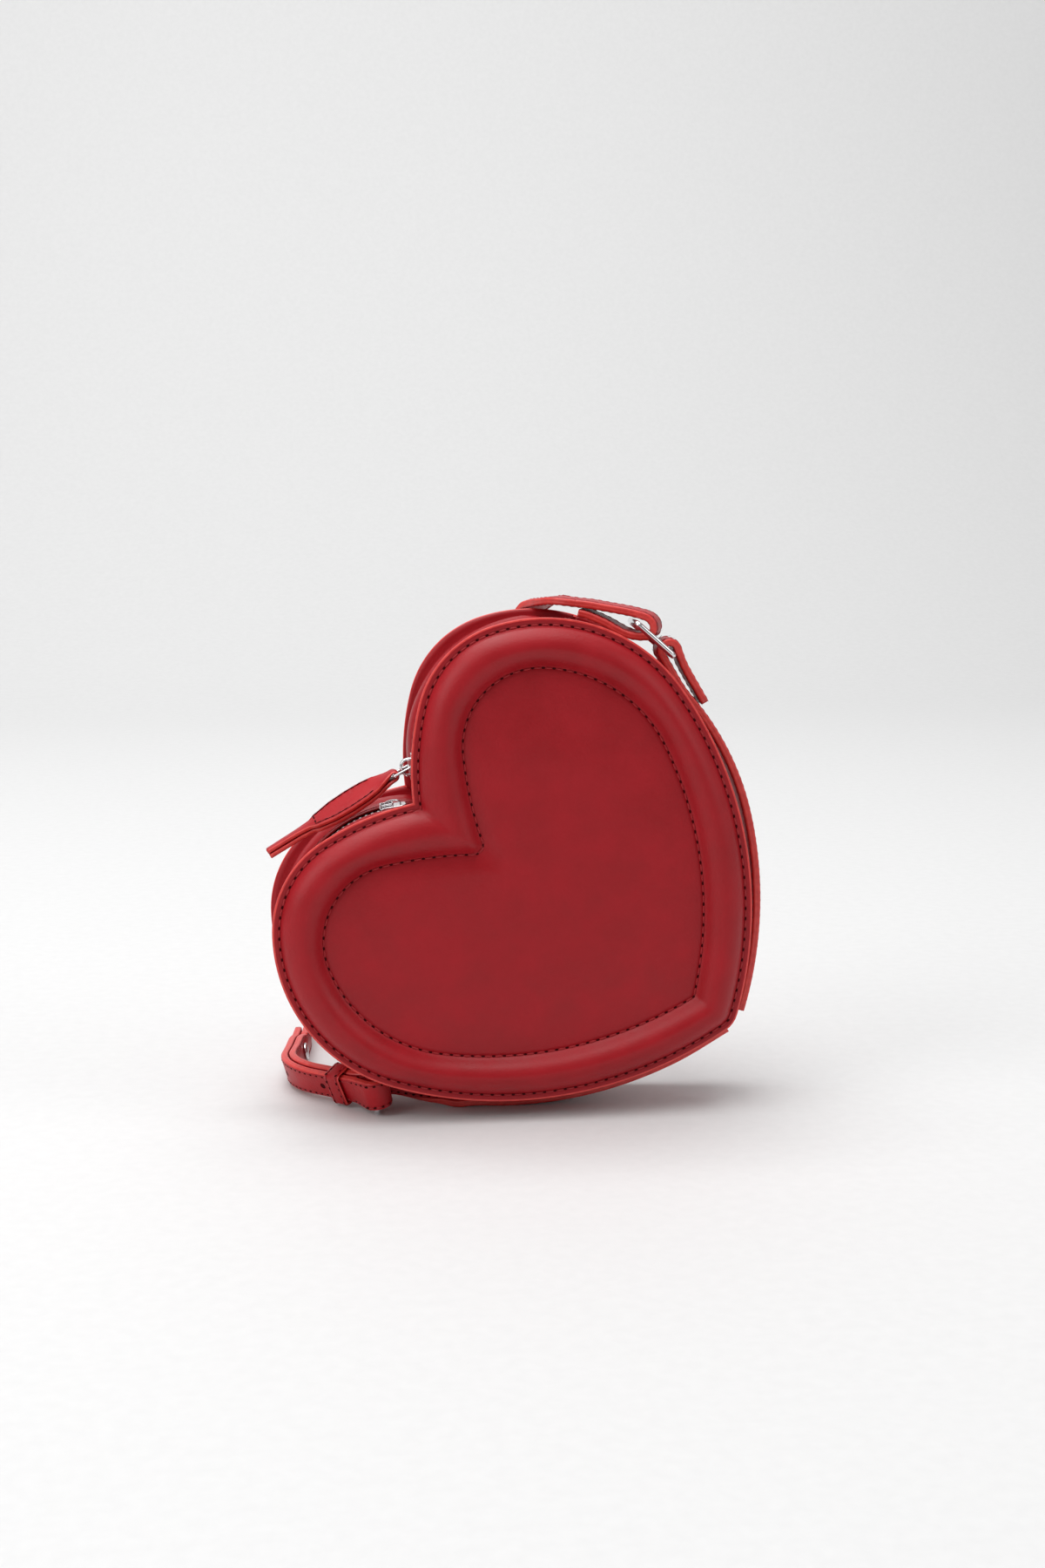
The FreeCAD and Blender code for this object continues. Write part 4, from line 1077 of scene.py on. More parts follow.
@dataclass
class Gusset:
    """Side wall round the tip, zip bands over the lobes, zip, and the patches at its ends."""

    shop: Workshop
    heart: HeartFrame
    wall_end: float = 20.0

    def lower(self) -> None:
        """Build the wall below the zip, with its turned out edges."""
        section = [(0.3, 21.35), (1.2, 21.3), (2.3, 21.2), (3.0, 20.8), (3.4, 20.0), (3.6, 18.0), (3.9, 12.0),
                   (4.0, 5.0)]
        section += [(inset, -back) for inset, back in reversed(section)]
        rows = []
        for inset, back in section:
            rows.append(self.heart.line(EDGE.round_tip(inset, 150, (2, self.wall_end - 1)), -back))
        made = self.shop.piece("lower_side_wall", skin(rows, closed=False), self.shop.cut_leather)
        self._outwards(made)
        self.shop.thicken(made, 1.0, rim=1)
        self._bend(made)
        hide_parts("lower_gusset")
        LOG.info("lower_side_wall bends between bag and front")

    def lower_lining(self) -> None:
        """Build the cloth inside the wall."""
        line = EDGE.round_tip(5.4, 80, (2, self.wall_end - 2))
        rows = [self.heart.line(line, back) for back in (-19.5, -10.0, 0.0, 10.0, 19.5)]
        made = self.shop.piece("side_lining_cloth", skin(rows, closed=False), [self.shop.finishes.lining])
        self._outwards(made)
        self.shop.thicken(made, 0.4)
        self._bend(made)
        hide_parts("gusset_lining")

    def _outwards(self, made: bpy.types.Object) -> None:
        """Turn a wall so that its faces look away from the middle of the heart."""
        middle = self.heart.at(0.0, 0.0, 90.0)
        data = made.data
        total = sum((polygon.center - middle).dot(polygon.normal) * polygon.area for polygon in data.polygons)
        if total < 0:
            data.flip_normals()

    def _bend(self, made: bpy.types.Object) -> None:
        """Fix a wall where it stands and let it ride on the bag."""
        tuple(self.heart.at(0, 19.0, 60))
        tuple(self.heart.at(0, -20.0, 60))
        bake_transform(made)
        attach(made, "bag")

    def arc(self, lobe: Lobe, radius: float, back: float, angle: float) -> Vector:
        """Point of a lobe's zip arc, its angle counted from the outside towards the cleft."""
        turned = math.radians(angle)
        across = lobe.side * (LOBE_ACROSS + radius * math.cos(turned))
        return self.heart.at(across, back, LOBE_UP + radius * math.sin(turned))

    def out(self, lobe: Lobe, angle: float) -> Vector:
        """Outward direction on a lobe's zip arc."""
        turned = math.radians(angle)
        return self.heart.way(lobe.side * math.cos(turned), math.sin(turned))

    def zip_leather(self, lobe: Lobe, half: Half, name: str) -> None:
        """Build one leather band beside the zip, with its flange and the stitches that hold the tape.

        Args:
            lobe: the lobe that it runs over.
            half: the half of the bag that it is sewn to.
            name: words for the half and the lobe in the piece's name.
        """
        cleft = math.degrees(math.acos((0.3 - LOBE_ACROSS) / LOBE_RADIUS))
        count = 70
        edge = EDGE.half(0.3, count, first=2, start=self.wall_end)
        angles = [self.wall_end + (cleft - self.wall_end) * step / count for step in range(count + 1)]
        rows = []
        for share, back in ((0.0, 21.35), (0.35, 21.3), (0.7, 21.2)):
            row = []
            for (across, up), angle in zip(edge, angles):
                turned = math.radians(angle)
                wall_across = LOBE_ACROSS + LOBE_RADIUS * math.cos(turned)
                wall_up = LOBE_UP + LOBE_RADIUS * math.sin(turned)
                there = (across + (wall_across - across) * share, up + (wall_up - up) * share)
                row.append(self.heart.at(lobe.side * max(0.25, there[0]), half.side * back, there[1]))
            rows.append(row)
        for rise, back in ((0.2, 20.9), (0.7, 20.2), (1.4, 18.5), (1.8, 15.5), (1.5, 12.0), (0.6, 9.8),
                           (-0.1, 9.0), (-0.25, 8.6), (-0.1, 8.0), (-0.1, 6.9), (-0.25, 6.4), (-0.7, 6.2)):
            row = []
            for angle in angles:
                swell = max(0.0, min(1.0, (angle - 26.0) / 16.0, (cleft - angle) / 6.0)) if rise > 0 else 1.0
                row.append(self.arc(lobe, LOBE_RADIUS + rise * swell, half.side * back, angle))
            rows.append(row)
        made = self.shop.piece("zip_leather_" + name, skin(rows, closed=False), self.shop.cut_leather)
        self._outwards(made)
        self.shop.thicken(made, 1.0, rim=1)
        self.shop.set_on(made, half.body, ["zip_band_" + name])
        line = [(self.arc(lobe, LOBE_RADIUS - 0.05, half.side * 8.6, angle), self.out(lobe, angle))
                for angle in angles]
        sewing = Stitching(self.shop, length=2.4, width=0.6, height=0.45, pitch=3.3)
        sewing.piece("zip_stitches_" + name, [line], half.body)

    def zip_tape(self, lobe: Lobe, half: Half, name: str) -> None:
        """Build one tape; beyond the teeth the two tapes of a lobe are sewn together.

        Args:
            lobe: the lobe that it runs over.
            half: the half of the bag that it is sewn to.
            name: words for the half and the lobe in the piece's name.
        """
        angles = [24.0 + 125.0 * step / 60 for step in range(61)]
        rows = []
        for back, close, rise in ((2.9, 0.2, 0.12), (3.5, 1.5, 0.05), (6.0, 6.0, 0.0), (10.0, 10.0, 0.0)):
            closing = ((142.5, back), (145.0, close))
            rows.append([self.arc(lobe, 49.4 + rise, half.side * between(closing, angle), angle)
                         for angle in angles])
        tape = self.shop.piece("zip_tape_cloth_" + name, skin(rows, closed=False), [self.shop.finishes.tape])
        self._outwards(tape)
        self.shop.thicken(tape, 0.6)
        self.shop.set_on(tape, half.body, ["zip_tape_" + name], "zip_tape")

    def zip_side(self, lobe: Lobe, half: Half) -> None:
        """Build one side of a lobe's zip."""
        name = "%s_%s" % (half.label, lobe.label)
        self.zip_leather(lobe, half, name)
        self.zip_tape(lobe, half, name)
        dress("zip_teeth_" + name, self.shop.finishes.teeth)

    def zip_end(self, lobe: Lobe) -> None:
        """Build the leather patch over a zip's outer end."""
        angles = [12.0 + 12.0 * step / 14 for step in range(15)]
        rows = []
        for back, rise in ((-12.0, 0.5), (-11.6, 0.9), (-10.5, 1.1), (-5.0, 1.2), (0.0, 1.35), (5.0, 1.2),
                           (10.5, 1.1), (11.6, 0.9), (12.0, 0.5)):
            rows.append([self.arc(lobe, LOBE_RADIUS + 0.8 + rise, back, angle) for angle in angles])
        mesh = skin(rows, closed=False)
        made = self.shop.piece("zip_end_leather_" + lobe.label, mesh, self.shop.cut_leather)
        self._outwards(made)
        self.shop.thicken(made, 0.9, rim=1)
        self.shop.set_on(made, "bag", ["zip_end_patch_" + lobe.label])
        backs = [-10.6 + 21.2 * step / 20 for step in range(21)]
        lines = [[(self.arc(lobe, LOBE_RADIUS + 2.05, back, angle), self.out(lobe, angle)) for back in backs]
                 for angle in (13.6, 22.4)]
        sewing = Stitching(self.shop, length=2.4, width=0.6, pitch=3.3)
        sewing.piece("zip_end_stitches_" + lobe.label, lines, "bag")
        dress("zip_stop_" + lobe.label, self.shop.finishes.teeth)

    def build(self) -> None:
        """Build the wall, the zip and its ends."""
        self.lower()
        self.lower_lining()
        for lobe in Lobe:
            for half in Half:
                self.zip_side(lobe, half)
            self.zip_end(lobe)


class LeaningStrap:
    """Doubled end of the strap: drawn flat on the floor, then leaned outwards and raised towards its nose."""

    PAIR = 3.5
    LEANS = ((0.0, 0.0), (6.0, 10.0), (20.0, 10.0), (60.0, 25.0), (80.0, 25.0), (92.0, 12.0))
    HEADING = -97.0
    RISE = 3.0 / 90.0
    RUN, BEND, TURN = 30.0, 31.6, 52.0
    BEFORE, BEYOND = 20.0, 70.0

    def __init__(self, heart: HeartFrame, lead_end: Point, joint: float, width: float, thick: float) -> None:
        """Draw the strap after the lead's end.

        Args:
            heart: the heart's axes.
            lead_end: where the lead ends on the floor.
            joint: gap after it.
            width: the strap's width.
            thick: the strap's thickness.
        """
        self.heart = heart
        self.width = width
        self.depth = self.PAIR + thick
        heading = math.radians(self.HEADING)
        self.way = Vector((math.cos(heading), math.sin(heading)))
        self.first = Vector(lead_end) + self.way * joint
        self.out = Vector((self.way.y, -self.way.x))
        spine = self.first - self.way * self.BEFORE + self.out * self.PAIR / 2
        line = Route((spine.x, spine.y), self.HEADING, 0.5)
        line.follow(((self.BEFORE + self.RUN,), (self.BEND + self.PAIR / 2, self.TURN), (self.BEYOND,)))
        self.spine = []
        length = -self.BEFORE
        for number, (point, turned) in enumerate(line.samples):
            if number:
                length += math.dist(point, line.samples[number - 1][0])
            self.spine.append((Vector(point), turned, length))

    def lean(self, length: float) -> float:
        """Angle that the strap leans at a length from its start."""
        return math.radians(between(self.LEANS, length))

    def at(self, point: Vector) -> Station:
        """Place, way ahead and width of the leaning strap at a point of its flat drawing."""
        place, heading, length = min(self.spine, key=lambda item: (item[0] - point).length)
        out = Vector((math.sin(heading), -math.cos(heading)))
        lean = self.lean(length)
        low, high = math.sin(lean), math.cos(lean)
        aside = (point - place).dot(out)
        level = self.width / 2 * high + self.depth / 2 * low + self.RISE * max(0.0, length) - aside * low
        moved = point + out * (aside * (high - 1))
        ahead = Vector((math.cos(heading), math.sin(heading), self.RISE if length > 0 else 0.0)).normalized()
        width = Vector((out.x * low, out.y * low, high))
        width = (width - ahead * width.dot(ahead)).normalized()
        return Station(self.heart.on_floor(moved.x, moved.y, level), ahead, width)

    def along(self, length: float, aside: float) -> Station:
        """Station at a length from the start, so far out from the middle of the two layers."""
        place, heading, _ = min(self.spine, key=lambda item: abs(item[2] - length))
        return self.at(place + Vector((math.sin(heading), -math.cos(heading))) * aside)

    def stations(self) -> list[Station]:
        """Stations from the lead round the nose and back along the outer layer."""
        leg, flare = 19.5, 7.15
        route = Route((self.first.x, self.first.y), self.HEADING)
        route.follow(((self.RUN,), (self.BEND, self.TURN), (leg,), (20.0, 14.0), (flare,), (4.2, -208.0),
                      (flare,), (20.0, 14.0), (leg,), (self.BEND + self.PAIR, -self.TURN), (42.0,)))
        banked = [self.at(Vector(point)) for point, _ in route.samples]
        return stationed([item.place for item in banked], [item.width for item in banked])


@dataclass
class Banding:
    """Side bands, strap and keeper: two layers of leather with painted edges and a stitch row along each."""

    shop: Workshop
    heart: HeartFrame
    width: float = 12.0
    thick: float = 3.1
    joint: float = 1.2
    yaw: float = math.radians(20.0)
    bow: float = 161.5
    fold: float = 3.4

    def section(self, width: float, thick: float, seam: float) -> list[Point]:
        """Cross section with rounded edges, a dent under each stitch row and a seam between the layers.

        Args:
            width: over all.
            thick: over all.
            seam: depth of the seam in the edge.

        Returns:
            Points as width and height.
        """
        half, high = width / 2, thick / 2
        inner = max(0.3, half - 1.9)
        upper = [(-inner, high - 0.05), (-half + 1.4, high - 0.18), (-half + 0.8, high - 0.04)]
        corner = [(-half + 0.35, high - 0.2), (-half + 0.08, high - 0.6), (-half, high * 0.16)]
        top = [(half - 0.8, high - 0.04), (half - 1.4, high - 0.18), (inner, high - 0.05),
               (inner * 0.5, high), (-inner * 0.5, high)] + upper
        left = corner + [(-half + seam, 0.0)] + [(x, -y) for x, y in reversed(corner)]
        return top + left + [(x, -y) for x, y in reversed(top)] + [(-x, -y) for x, y in left]

    def band(self, name: str, stations: Sequence[Station], widths: Optional[Sequence[float]] = None,
             thicks: Optional[Sequence[float]] = None, seam: float = 0.12,
             closed: bool = False) -> bpy.types.Object:
        """Sweep the section along stations.

        Args:
            name: the piece's name.
            stations: places along the band.
            widths: width over all at each, if not the strap's.
            thicks: thickness at each, if not the strap's.
            seam: depth of the seam in the edge.
            closed: whether the band runs round into itself.

        Returns:
            The piece, not yet on a body.
        """
        rows = []
        for number, station in enumerate(stations):
            width = widths[number] if widths else self.width
            thick = thicks[number] if thicks else self.thick
            out = station.ahead.cross(station.width)
            rows.append([station.place + (station.width * across + out * high) * MM
                         for across, high in self.section(width, thick, seam)])
        if closed:
            rows.append(rows[0])
        mesh = skin(rows, closed=True, bands=([0] * 8 + [1] * 6 + [0]) * 2)
        if not closed:
            close_ends(mesh, 1)
        return self.shop.piece(name, mesh, [self.shop.finishes.band, self.shop.finishes.edge])

    def thread(self, stations: Sequence[Station], inset: float = 1.4, faces: Sequence[float] = (1.0, -1.0),
               widths: Optional[Sequence[float]] = None,
               thicks: Optional[Sequence[float]] = None) -> list[StitchRow]:
        """Stitch rows along both edges.

        Args:
            stations: places along the band.
            inset: distance from the edge.
            faces: which faces are sewn through.
            widths: width over all at each, if not the strap's.
            thicks: thickness at each, if not the strap's.

        Returns:
            Rows of points and normals.
        """
        rows = []
        for face in faces:
            for side in (1.0, -1.0):
                row = []
                for number, station in enumerate(stations):
                    half = (widths[number] if widths else self.width) / 2
                    high = (thicks[number] if thicks else self.thick) / 2
                    out = station.ahead.cross(station.width) * face
                    across = station.width * side * (half - inset)
                    row.append((station.place + (across + out * (high - 0.12)) * MM, out))
                rows.append(row)
        return rows

    @property
    def sewing(self) -> Stitching:
        """Shorter stitches of the bands."""
        return Stitching(self.shop, length=2.3, width=0.7, height=0.6, pitch=3.2, hole=0.5)

    def upright(self, route: Route) -> list[Station]:
        """Stations of a route in the heart's plane."""
        made = []
        for (across, up), heading in route.samples:
            ahead = self.heart.way(math.cos(heading), math.sin(heading))
            made.append(Station(self.heart.at(across, 0.0, up), ahead, Y_AXIS.copy()))
        return made

    def lying(self, route: Route) -> list[Station]:
        """Stations of a route on the floor, with the band on its edge."""
        made = []
        for (right, back), heading in route.samples:
            ahead = Vector((math.cos(heading), math.sin(heading), 0.0))
            made.append(Station(self.heart.on_floor(right, back, self.width / 2), ahead, Z_AXIS.copy()))
        return made

    def put(self, name: str, stations: Sequence[Station], body: str, node: str) -> None:
        """Build a band with its stitches on a body in place of a node."""
        self.shop.set_on(self.band(name, stations), body, [node])
        self.sewing.piece(name + "_stitches", self.thread(stations), body)

    def put_bending(self, name: str, stations: Sequence[Station], node: str, from_body: str) -> None:
        """Build a band and its stitches on the bag in place of a node, running from another body at its first
        station to its last.
        """
        pieces = [self.band(name, stations), self.sewing.make(name + "_stitches", self.thread(stations))]
        for made in pieces:
            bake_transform(made)
            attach(made, "bag")
            LOG.info("%s bends between %s and bag", made.name, from_body)
        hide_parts(node)

    def sides(self) -> None:
        """Build the two side bands."""
        flank = EDGE.arcs(0.0)[1]
        angle = math.radians(-69.9)
        start = (flank[0] + self.bow * math.cos(angle), flank[1] + self.bow * math.sin(angle))
        route = Route(start, 20.1)
        route.follow(((self.bow, 29.0), (111.0, 28.0), (40.0, -11.0), (12.6,), (self.fold, -191.0), (3.0,),
                      (40.0, 11.0), (14.0,)))
        self.put("side_band_leather_right", self.upright(route), "bag", "side_band_right")
        tip = self.heart.at(-start[0], 0.0, start[1])
        centre = self.heart.at(-flank[0], 0.0, flank[1])
        first = math.atan2(tip.z - centre.z, tip.x - centre.x)
        points, widths = [], []
        for step in range(5):
            turned = first + (-math.pi / 2 - first) * step / 4
            points.append(centre + Vector((math.cos(turned), 0.0, math.sin(turned))) * self.bow * MM)
            widths.append(Y_AXIS)
        floor_end = centre + Vector((-18.0, 0.0, -self.bow)) * MM
        bar, upwards = joint_of("ring_left_swing")
        leg = bar - floor_end
        leg = (leg - upwards * leg.dot(upwards)).normalized()
        side = upwards.cross(leg)
        leg_start = bar + (side * self.fold - leg * 10.0) * MM
        points.append(floor_end)
        widths.append(Y_AXIS)
        for part, turn in ((0.36, 40.0), (0.7, 70.0), (1.0, 90.0)):
            swell = Z_AXIS * (4.8 * part * (1 - part) * MM)
            points.append(floor_end.lerp(leg_start, part) + swell)
            widths.append(Y_AXIS * math.cos(math.radians(turn)) + upwards * math.sin(math.radians(turn)))
        for step in range(6):
            points.append(bar + Matrix.Rotation(math.radians(-36 * step), 3, upwards) @ side * self.fold * MM)
            widths.append(upwards)
        points.append(bar - (side * 2.8 + leg * 11.0) * MM)
        widths.append(upwards)
        stations = [self._clear(station) for station in ribbon(points, widths)]
        self.put("side_band_leather_left", stations, "bag", "side_band_left")

    def _clear(self, station: Station) -> Station:
        """Lift a station whose band would sink into the floor."""
        out = station.ahead.cross(station.width)
        reach = (abs(station.width.z) * self.width / 2 + abs(out.z) * self.thick / 2) * MM
        sunk = min(0.0, station.place.z - reach - self.heart.floor.z)
        return Station(station.place - Z_AXIS * sunk, station.ahead, station.width)

    def on_loop(self, along: float, height: float) -> Vector:
        """Point of the strap's upper end, from its nose to the left and back."""
        right = -28.45 - along * math.cos(self.yaw)
        return self.heart.on_floor(right, (along - 5.5) * math.sin(self.yaw), height)

    def strap(self) -> None:
        """Build the strap from the upper ring over the lobe and round to the doubled end."""
        across = Vector((math.sin(self.yaw), math.cos(self.yaw), 0.0))
        loop = ((31.0, 198.9), (26.8, 197.9), (20.5, 195.3), (16.2, 193.0), (12.5, 191.2), (9.2, 190.3),
                (6.0, 190.0), (3.2, 190.2), (1.2, 191.5), (0.6, 193.6), (1.4, 196.0), (3.8, 197.8),
                (8.3, 199.1), (13.4, 200.1), (19.8, 201.1), (26.0, 202.1), (31.0, 202.6), (32.1, 202.7))
        stations = ribbon([self.on_loop(*point) for point in loop], [across] * len(loop))
        self.put("strap_leather_right_end", stations, "ring_right", "strap_right_end")
        route = (((-66.3, 13.8, 203.4), (0.5, 0.87, 0)), ((-69.3, 20.7, 202.6), (0.72, 0.69, 0)),
                 ((-71.8, 27.7, 201.1), (0.9, 0.43, -0.05)), ((-75, 33.6, 197.4), (0.93, 0.3, -0.2)),
                 ((-80, 38, 186.5), (0.95, 0.2, -0.25)), ((-91, 42, 160), (0.95, 0.15, -0.28)),
                 ((-104, 47, 130), (0.95, 0.1, -0.25)), ((-118, 66, 80), (0.95, 0.2, -0.1)),
                 ((-129, 88, 38), (0.85, 0.35, 0.2)), ((-132, 96.5, 20), (0.65, 0.4, 0.6)),
                 ((-132.6, 100.3, 11.6), (0.4, 0.3, 0.85)), ((-133, 103, 7.4), (0.1, 0.08, 0.98)),
                 ((-133, 104.8, 6.3), (0, 0, 1)), ((-133, 105.8, 6), (0, 0, 1)),
                 ((-133, 107.9, 6), (0, 0, 1)))
        points = [self.on_loop(32.2, 202.7), self.on_loop(36.0, 203.1)]
        points += [self.heart.on_floor(*place) for place, _ in route]
        widths = [across, across] + [Vector(width) for _, width in route]
        over = [self._clear(station) for station in ribbon(points, widths)]
        self.put_bending("strap_leather_over_lobe", over, "strap_over_lobe", "ring_right")
        coil = Route((-133.0, 108.0), 90.0).follow([(radius, 180.0) for radius in (8.0, 16.0, 20.0, 22.0)])
        self.put("strap_leather_coil", self.lying(coil), "bag", "strap_floor_coil")
        lead = Route(coil.point, 90.0).follow(((27.0, 180.0), (16.0,), (60.0, -7.0), (14.0,)))
        back_first = [Station(item.place, -item.ahead, item.width) for item in reversed(self.lying(lead))]
        self.put_bending("strap_leather_lead", back_first, "strap_left_lead", "ring_left")
        doubled = LeaningStrap(self.heart, lead.point, self.joint, self.width, self.thick)
        self.put("strap_leather_left_end", doubled.stations(), "ring_left", "strap_left_end")
        self.keeper(doubled.along(74.3, 0.0))
        self.stud(doubled.along(11.0, -doubled.PAIR / 2))
        self.punched(doubled)

    def keeper(self, station: Station) -> None:
        """Build the loop that slides on the doubled end.

        Args:
            station: middle of the loop.
        """
        inner = station.width.cross(station.ahead)
        deep, tall, bend = 4.35, 7.0, 1.5
        stations = []
        for number, (right, up) in enumerate(((1, 1), (-1, 1), (-1, -1), (1, -1))):
            for step in range(6):
                angle = math.radians(90.0 * number + 18.0 * step)
                offset = inner * (right * (deep - bend) + bend * math.cos(angle))
                offset += station.width * (up * (tall - bend) + bend * math.sin(angle))
                ahead = station.width * math.cos(angle) - inner * math.sin(angle)
                stations.append(Station(station.place + offset * MM, ahead, station.ahead))
        length, thick = 7.6, 1.3
        count = len(stations)
        made = self.band("keeper_leather", stations, [length] * count, [thick] * count, closed=True)
        self.shop.set_on(made, "strap_keeper", ["strap_keeper"])
        ring = [*stations, stations[0]]
        out = 1.0 if stations[0].ahead.cross(stations[0].width).dot(inner) > 0 else -1.0
        rows = self.thread(ring, 1.2, (out,), [length] * (count + 1), [thick] * (count + 1))
        self.sewing.piece("keeper_stitches", rows, "strap_keeper")

    def stud(self, station: Station) -> None:
        """Build the slotted screw and the flat cap that hold the doubled end.

        Args:
            station: the inner layer's place at the stud.
        """
        inner = station.width.cross(station.ahead)
        turned = Matrix((station.ahead, station.width, inner)).transposed().to_4x4()
        for node, radius, thick, aside in (("stud_screw", 3.6, 1.1, 1.7), ("stud_cap", 3.4, 0.9, -5.2)):
            mesh = bmesh.new()
            bmesh.ops.create_cone(mesh, cap_ends=True, segments=28, radius1=radius * MM, radius2=radius * MM,
                                  depth=thick * MM)
            round_off(mesh, level_edges(mesh), 0.35, 3)
            if node == "stud_screw":
                # The slot is a thin dark plate of painted shade laid on the screw's head
                place = Matrix.Translation((0.0, 0.0, thick / 2 * MM)) @ Matrix.Rotation(0.5, 4, "Z")
                size = Matrix.Diagonal((1.0 * MM, 5.6 * MM, 0.1 * MM, 1.0))
                slot = bmesh.ops.create_cube(mesh, size=1.0, matrix=place @ size)
                for face in {face for vert in slot["verts"] for face in vert.link_faces}:
                    face.material_index = 1
            aside += math.copysign(thick / 2, aside)
            bmesh.ops.transform(mesh, matrix=Matrix.Translation(station.place + inner * aside * MM) @ turned,
                                verts=mesh.verts)
            finishes = self.shop.finishes
            made = self.shop.piece(node + "_metal", mesh, [finishes.metal, finishes.hole], ready=True)
            self.shop.set_on(made, "ring_left", [node], "bright_metal")

    def punched(self, strap: LeaningStrap) -> None:
        """Build dark discs of painted shade where the strap's outer layer is punched."""
        mesh = bmesh.new()
        for length in (42.0, 66.5):
            station = strap.along(length, strap.PAIR / 2 + self.thick / 2 + 0.05)
            out = station.ahead.cross(station.width)
            turned = Matrix((station.ahead, station.width, out)).transposed().to_4x4()
            bmesh.ops.create_circle(mesh, cap_ends=True, segments=16, radius=1.3 * MM,
                                    matrix=Matrix.Translation(station.place) @ turned)
        made = self.shop.piece("strap_holes", mesh, [self.shop.finishes.hole], ready=True)
        self.shop.set_on(made, "ring_left")

    def build(self) -> None:
        """Build all bands."""
        self.sides()
        self.strap()


@dataclass
class LeatherPull:
    """Folded pull on the wire link: two layers round the wire, stitched in an almond, with a square tail."""

    shop: Workshop
    bands: Banding
    dip: float = math.radians(31.4)
    roll: float = math.radians(-24.0)
    length: float = 58.0
    steps: int = 44
    sewn_to: float = 36.0

    def half(self, along: float) -> float:
        """Half width of the pull at a distance from the link."""
        return between(((-3.0, 2.9), (1.0, 2.95), (4.0, 4.1), (8.0, 5.3), (13.0, 6.4), (20.0, 6.8),
                        (28.0, 6.25), (36.4, 4.4), (37.4, 3.1), (44.0, 2.8), (60.0, 2.6)), along)

    def twist(self, along: float) -> float:
        """Share of the roll at a distance from the link."""
        return between(((-2.0, 0.0), (2.0, 0.4), (8.0, 1.0), (28.0, 1.0), (36.5, 0.8), (37.5, 0.6),
                        (44.0, 0.2), (self.length, 0.0)), along)

    def station(self, along: float, high: float) -> tuple[Vector, Vector]:
        """Place and width of a layer.

        Args:
            along: distance from the link.
            high: height of the layer over the pull's middle.

        Returns:
            Its place and the way its width lies.
        """
        link, _ = joint_of("pull_swing")
        ahead = Vector((-math.cos(self.dip), 0.0, -math.sin(self.dip)))
        under = ahead.cross(Y_AXIS)
        turned = self.roll * self.twist(along)
        width = Y_AXIS * math.cos(turned) + under * math.sin(turned)
        face = under * math.cos(turned) - Y_AXIS * math.sin(turned)
        return link + (ahead * along + face * high) * MM, width

    def build(self) -> None:
        """Build the pull and its thread."""
        outward = [self.length - self.length * step / self.steps for step in range(self.steps + 1)]
        marks: list[tuple[float, float, float]] = []
        for along in outward:
            open_up = max(0.0, 1 - along / 7.0) ** 2
            marks.append((along, 1.05 + 0.6 * open_up, 2.0 - 0.65 * open_up))
        turn = [(1.65 * math.cos(math.radians(angle)), 1.65 * math.sin(math.radians(angle)), 1.35)
                for angle in range(108, 260, 18)]
        marks += turn + [(along, -high, thick) for along, high, thick in reversed(marks)]
        found = [self.station(along, high) for along, high, _ in marks]
        stations = stationed([place for place, _ in found], [width for _, width in found])
        widths = [2 * self.half(along) for along, _, _ in marks]
        thicks = [thick for _, _, thick in marks]
        made = self.bands.band("pull_leather", stations, widths, thicks, seam=0.1)
        self.shop.set_on(made, "leather_pull", ["leather_pull"])
        sewn = [number for number, (along, _, _) in enumerate(marks) if 8.5 < along < self.sewn_to]
        rows = []
        fold = len(outward)
        layers = ([n for n in sewn if n < fold], [n for n in sewn if n > fold])
        for layer in layers:
            rows += self.bands.thread([stations[n] for n in layer], 1.25, (-1.0,), [widths[n] for n in layer],
                                      [thicks[n] for n in layer])
        for layer in layers:
            rim = min(layer, key=lambda n: abs(marks[n][0] - self.sewn_to))
            station = stations[rim]
            out = station.ahead.cross(station.width) * -1
            reach = widths[rim] / 2 - 1.4
            lift = out * (thicks[rim] / 2 - 0.1)
            rows.append([(station.place + (station.width * reach * side + lift) * MM, out)
                         for side in (-1.0, -0.5, 0.0, 0.5, 1.0)])
        # The pull's stitches take the thread darkened with painted shade
        sewing = Stitching(self.shop, length=2.3, width=0.9, height=0.8, pitch=3.1, hole=0.4, dark=True)
        sewing.piece("pull_stitches", rows, "leather_pull")


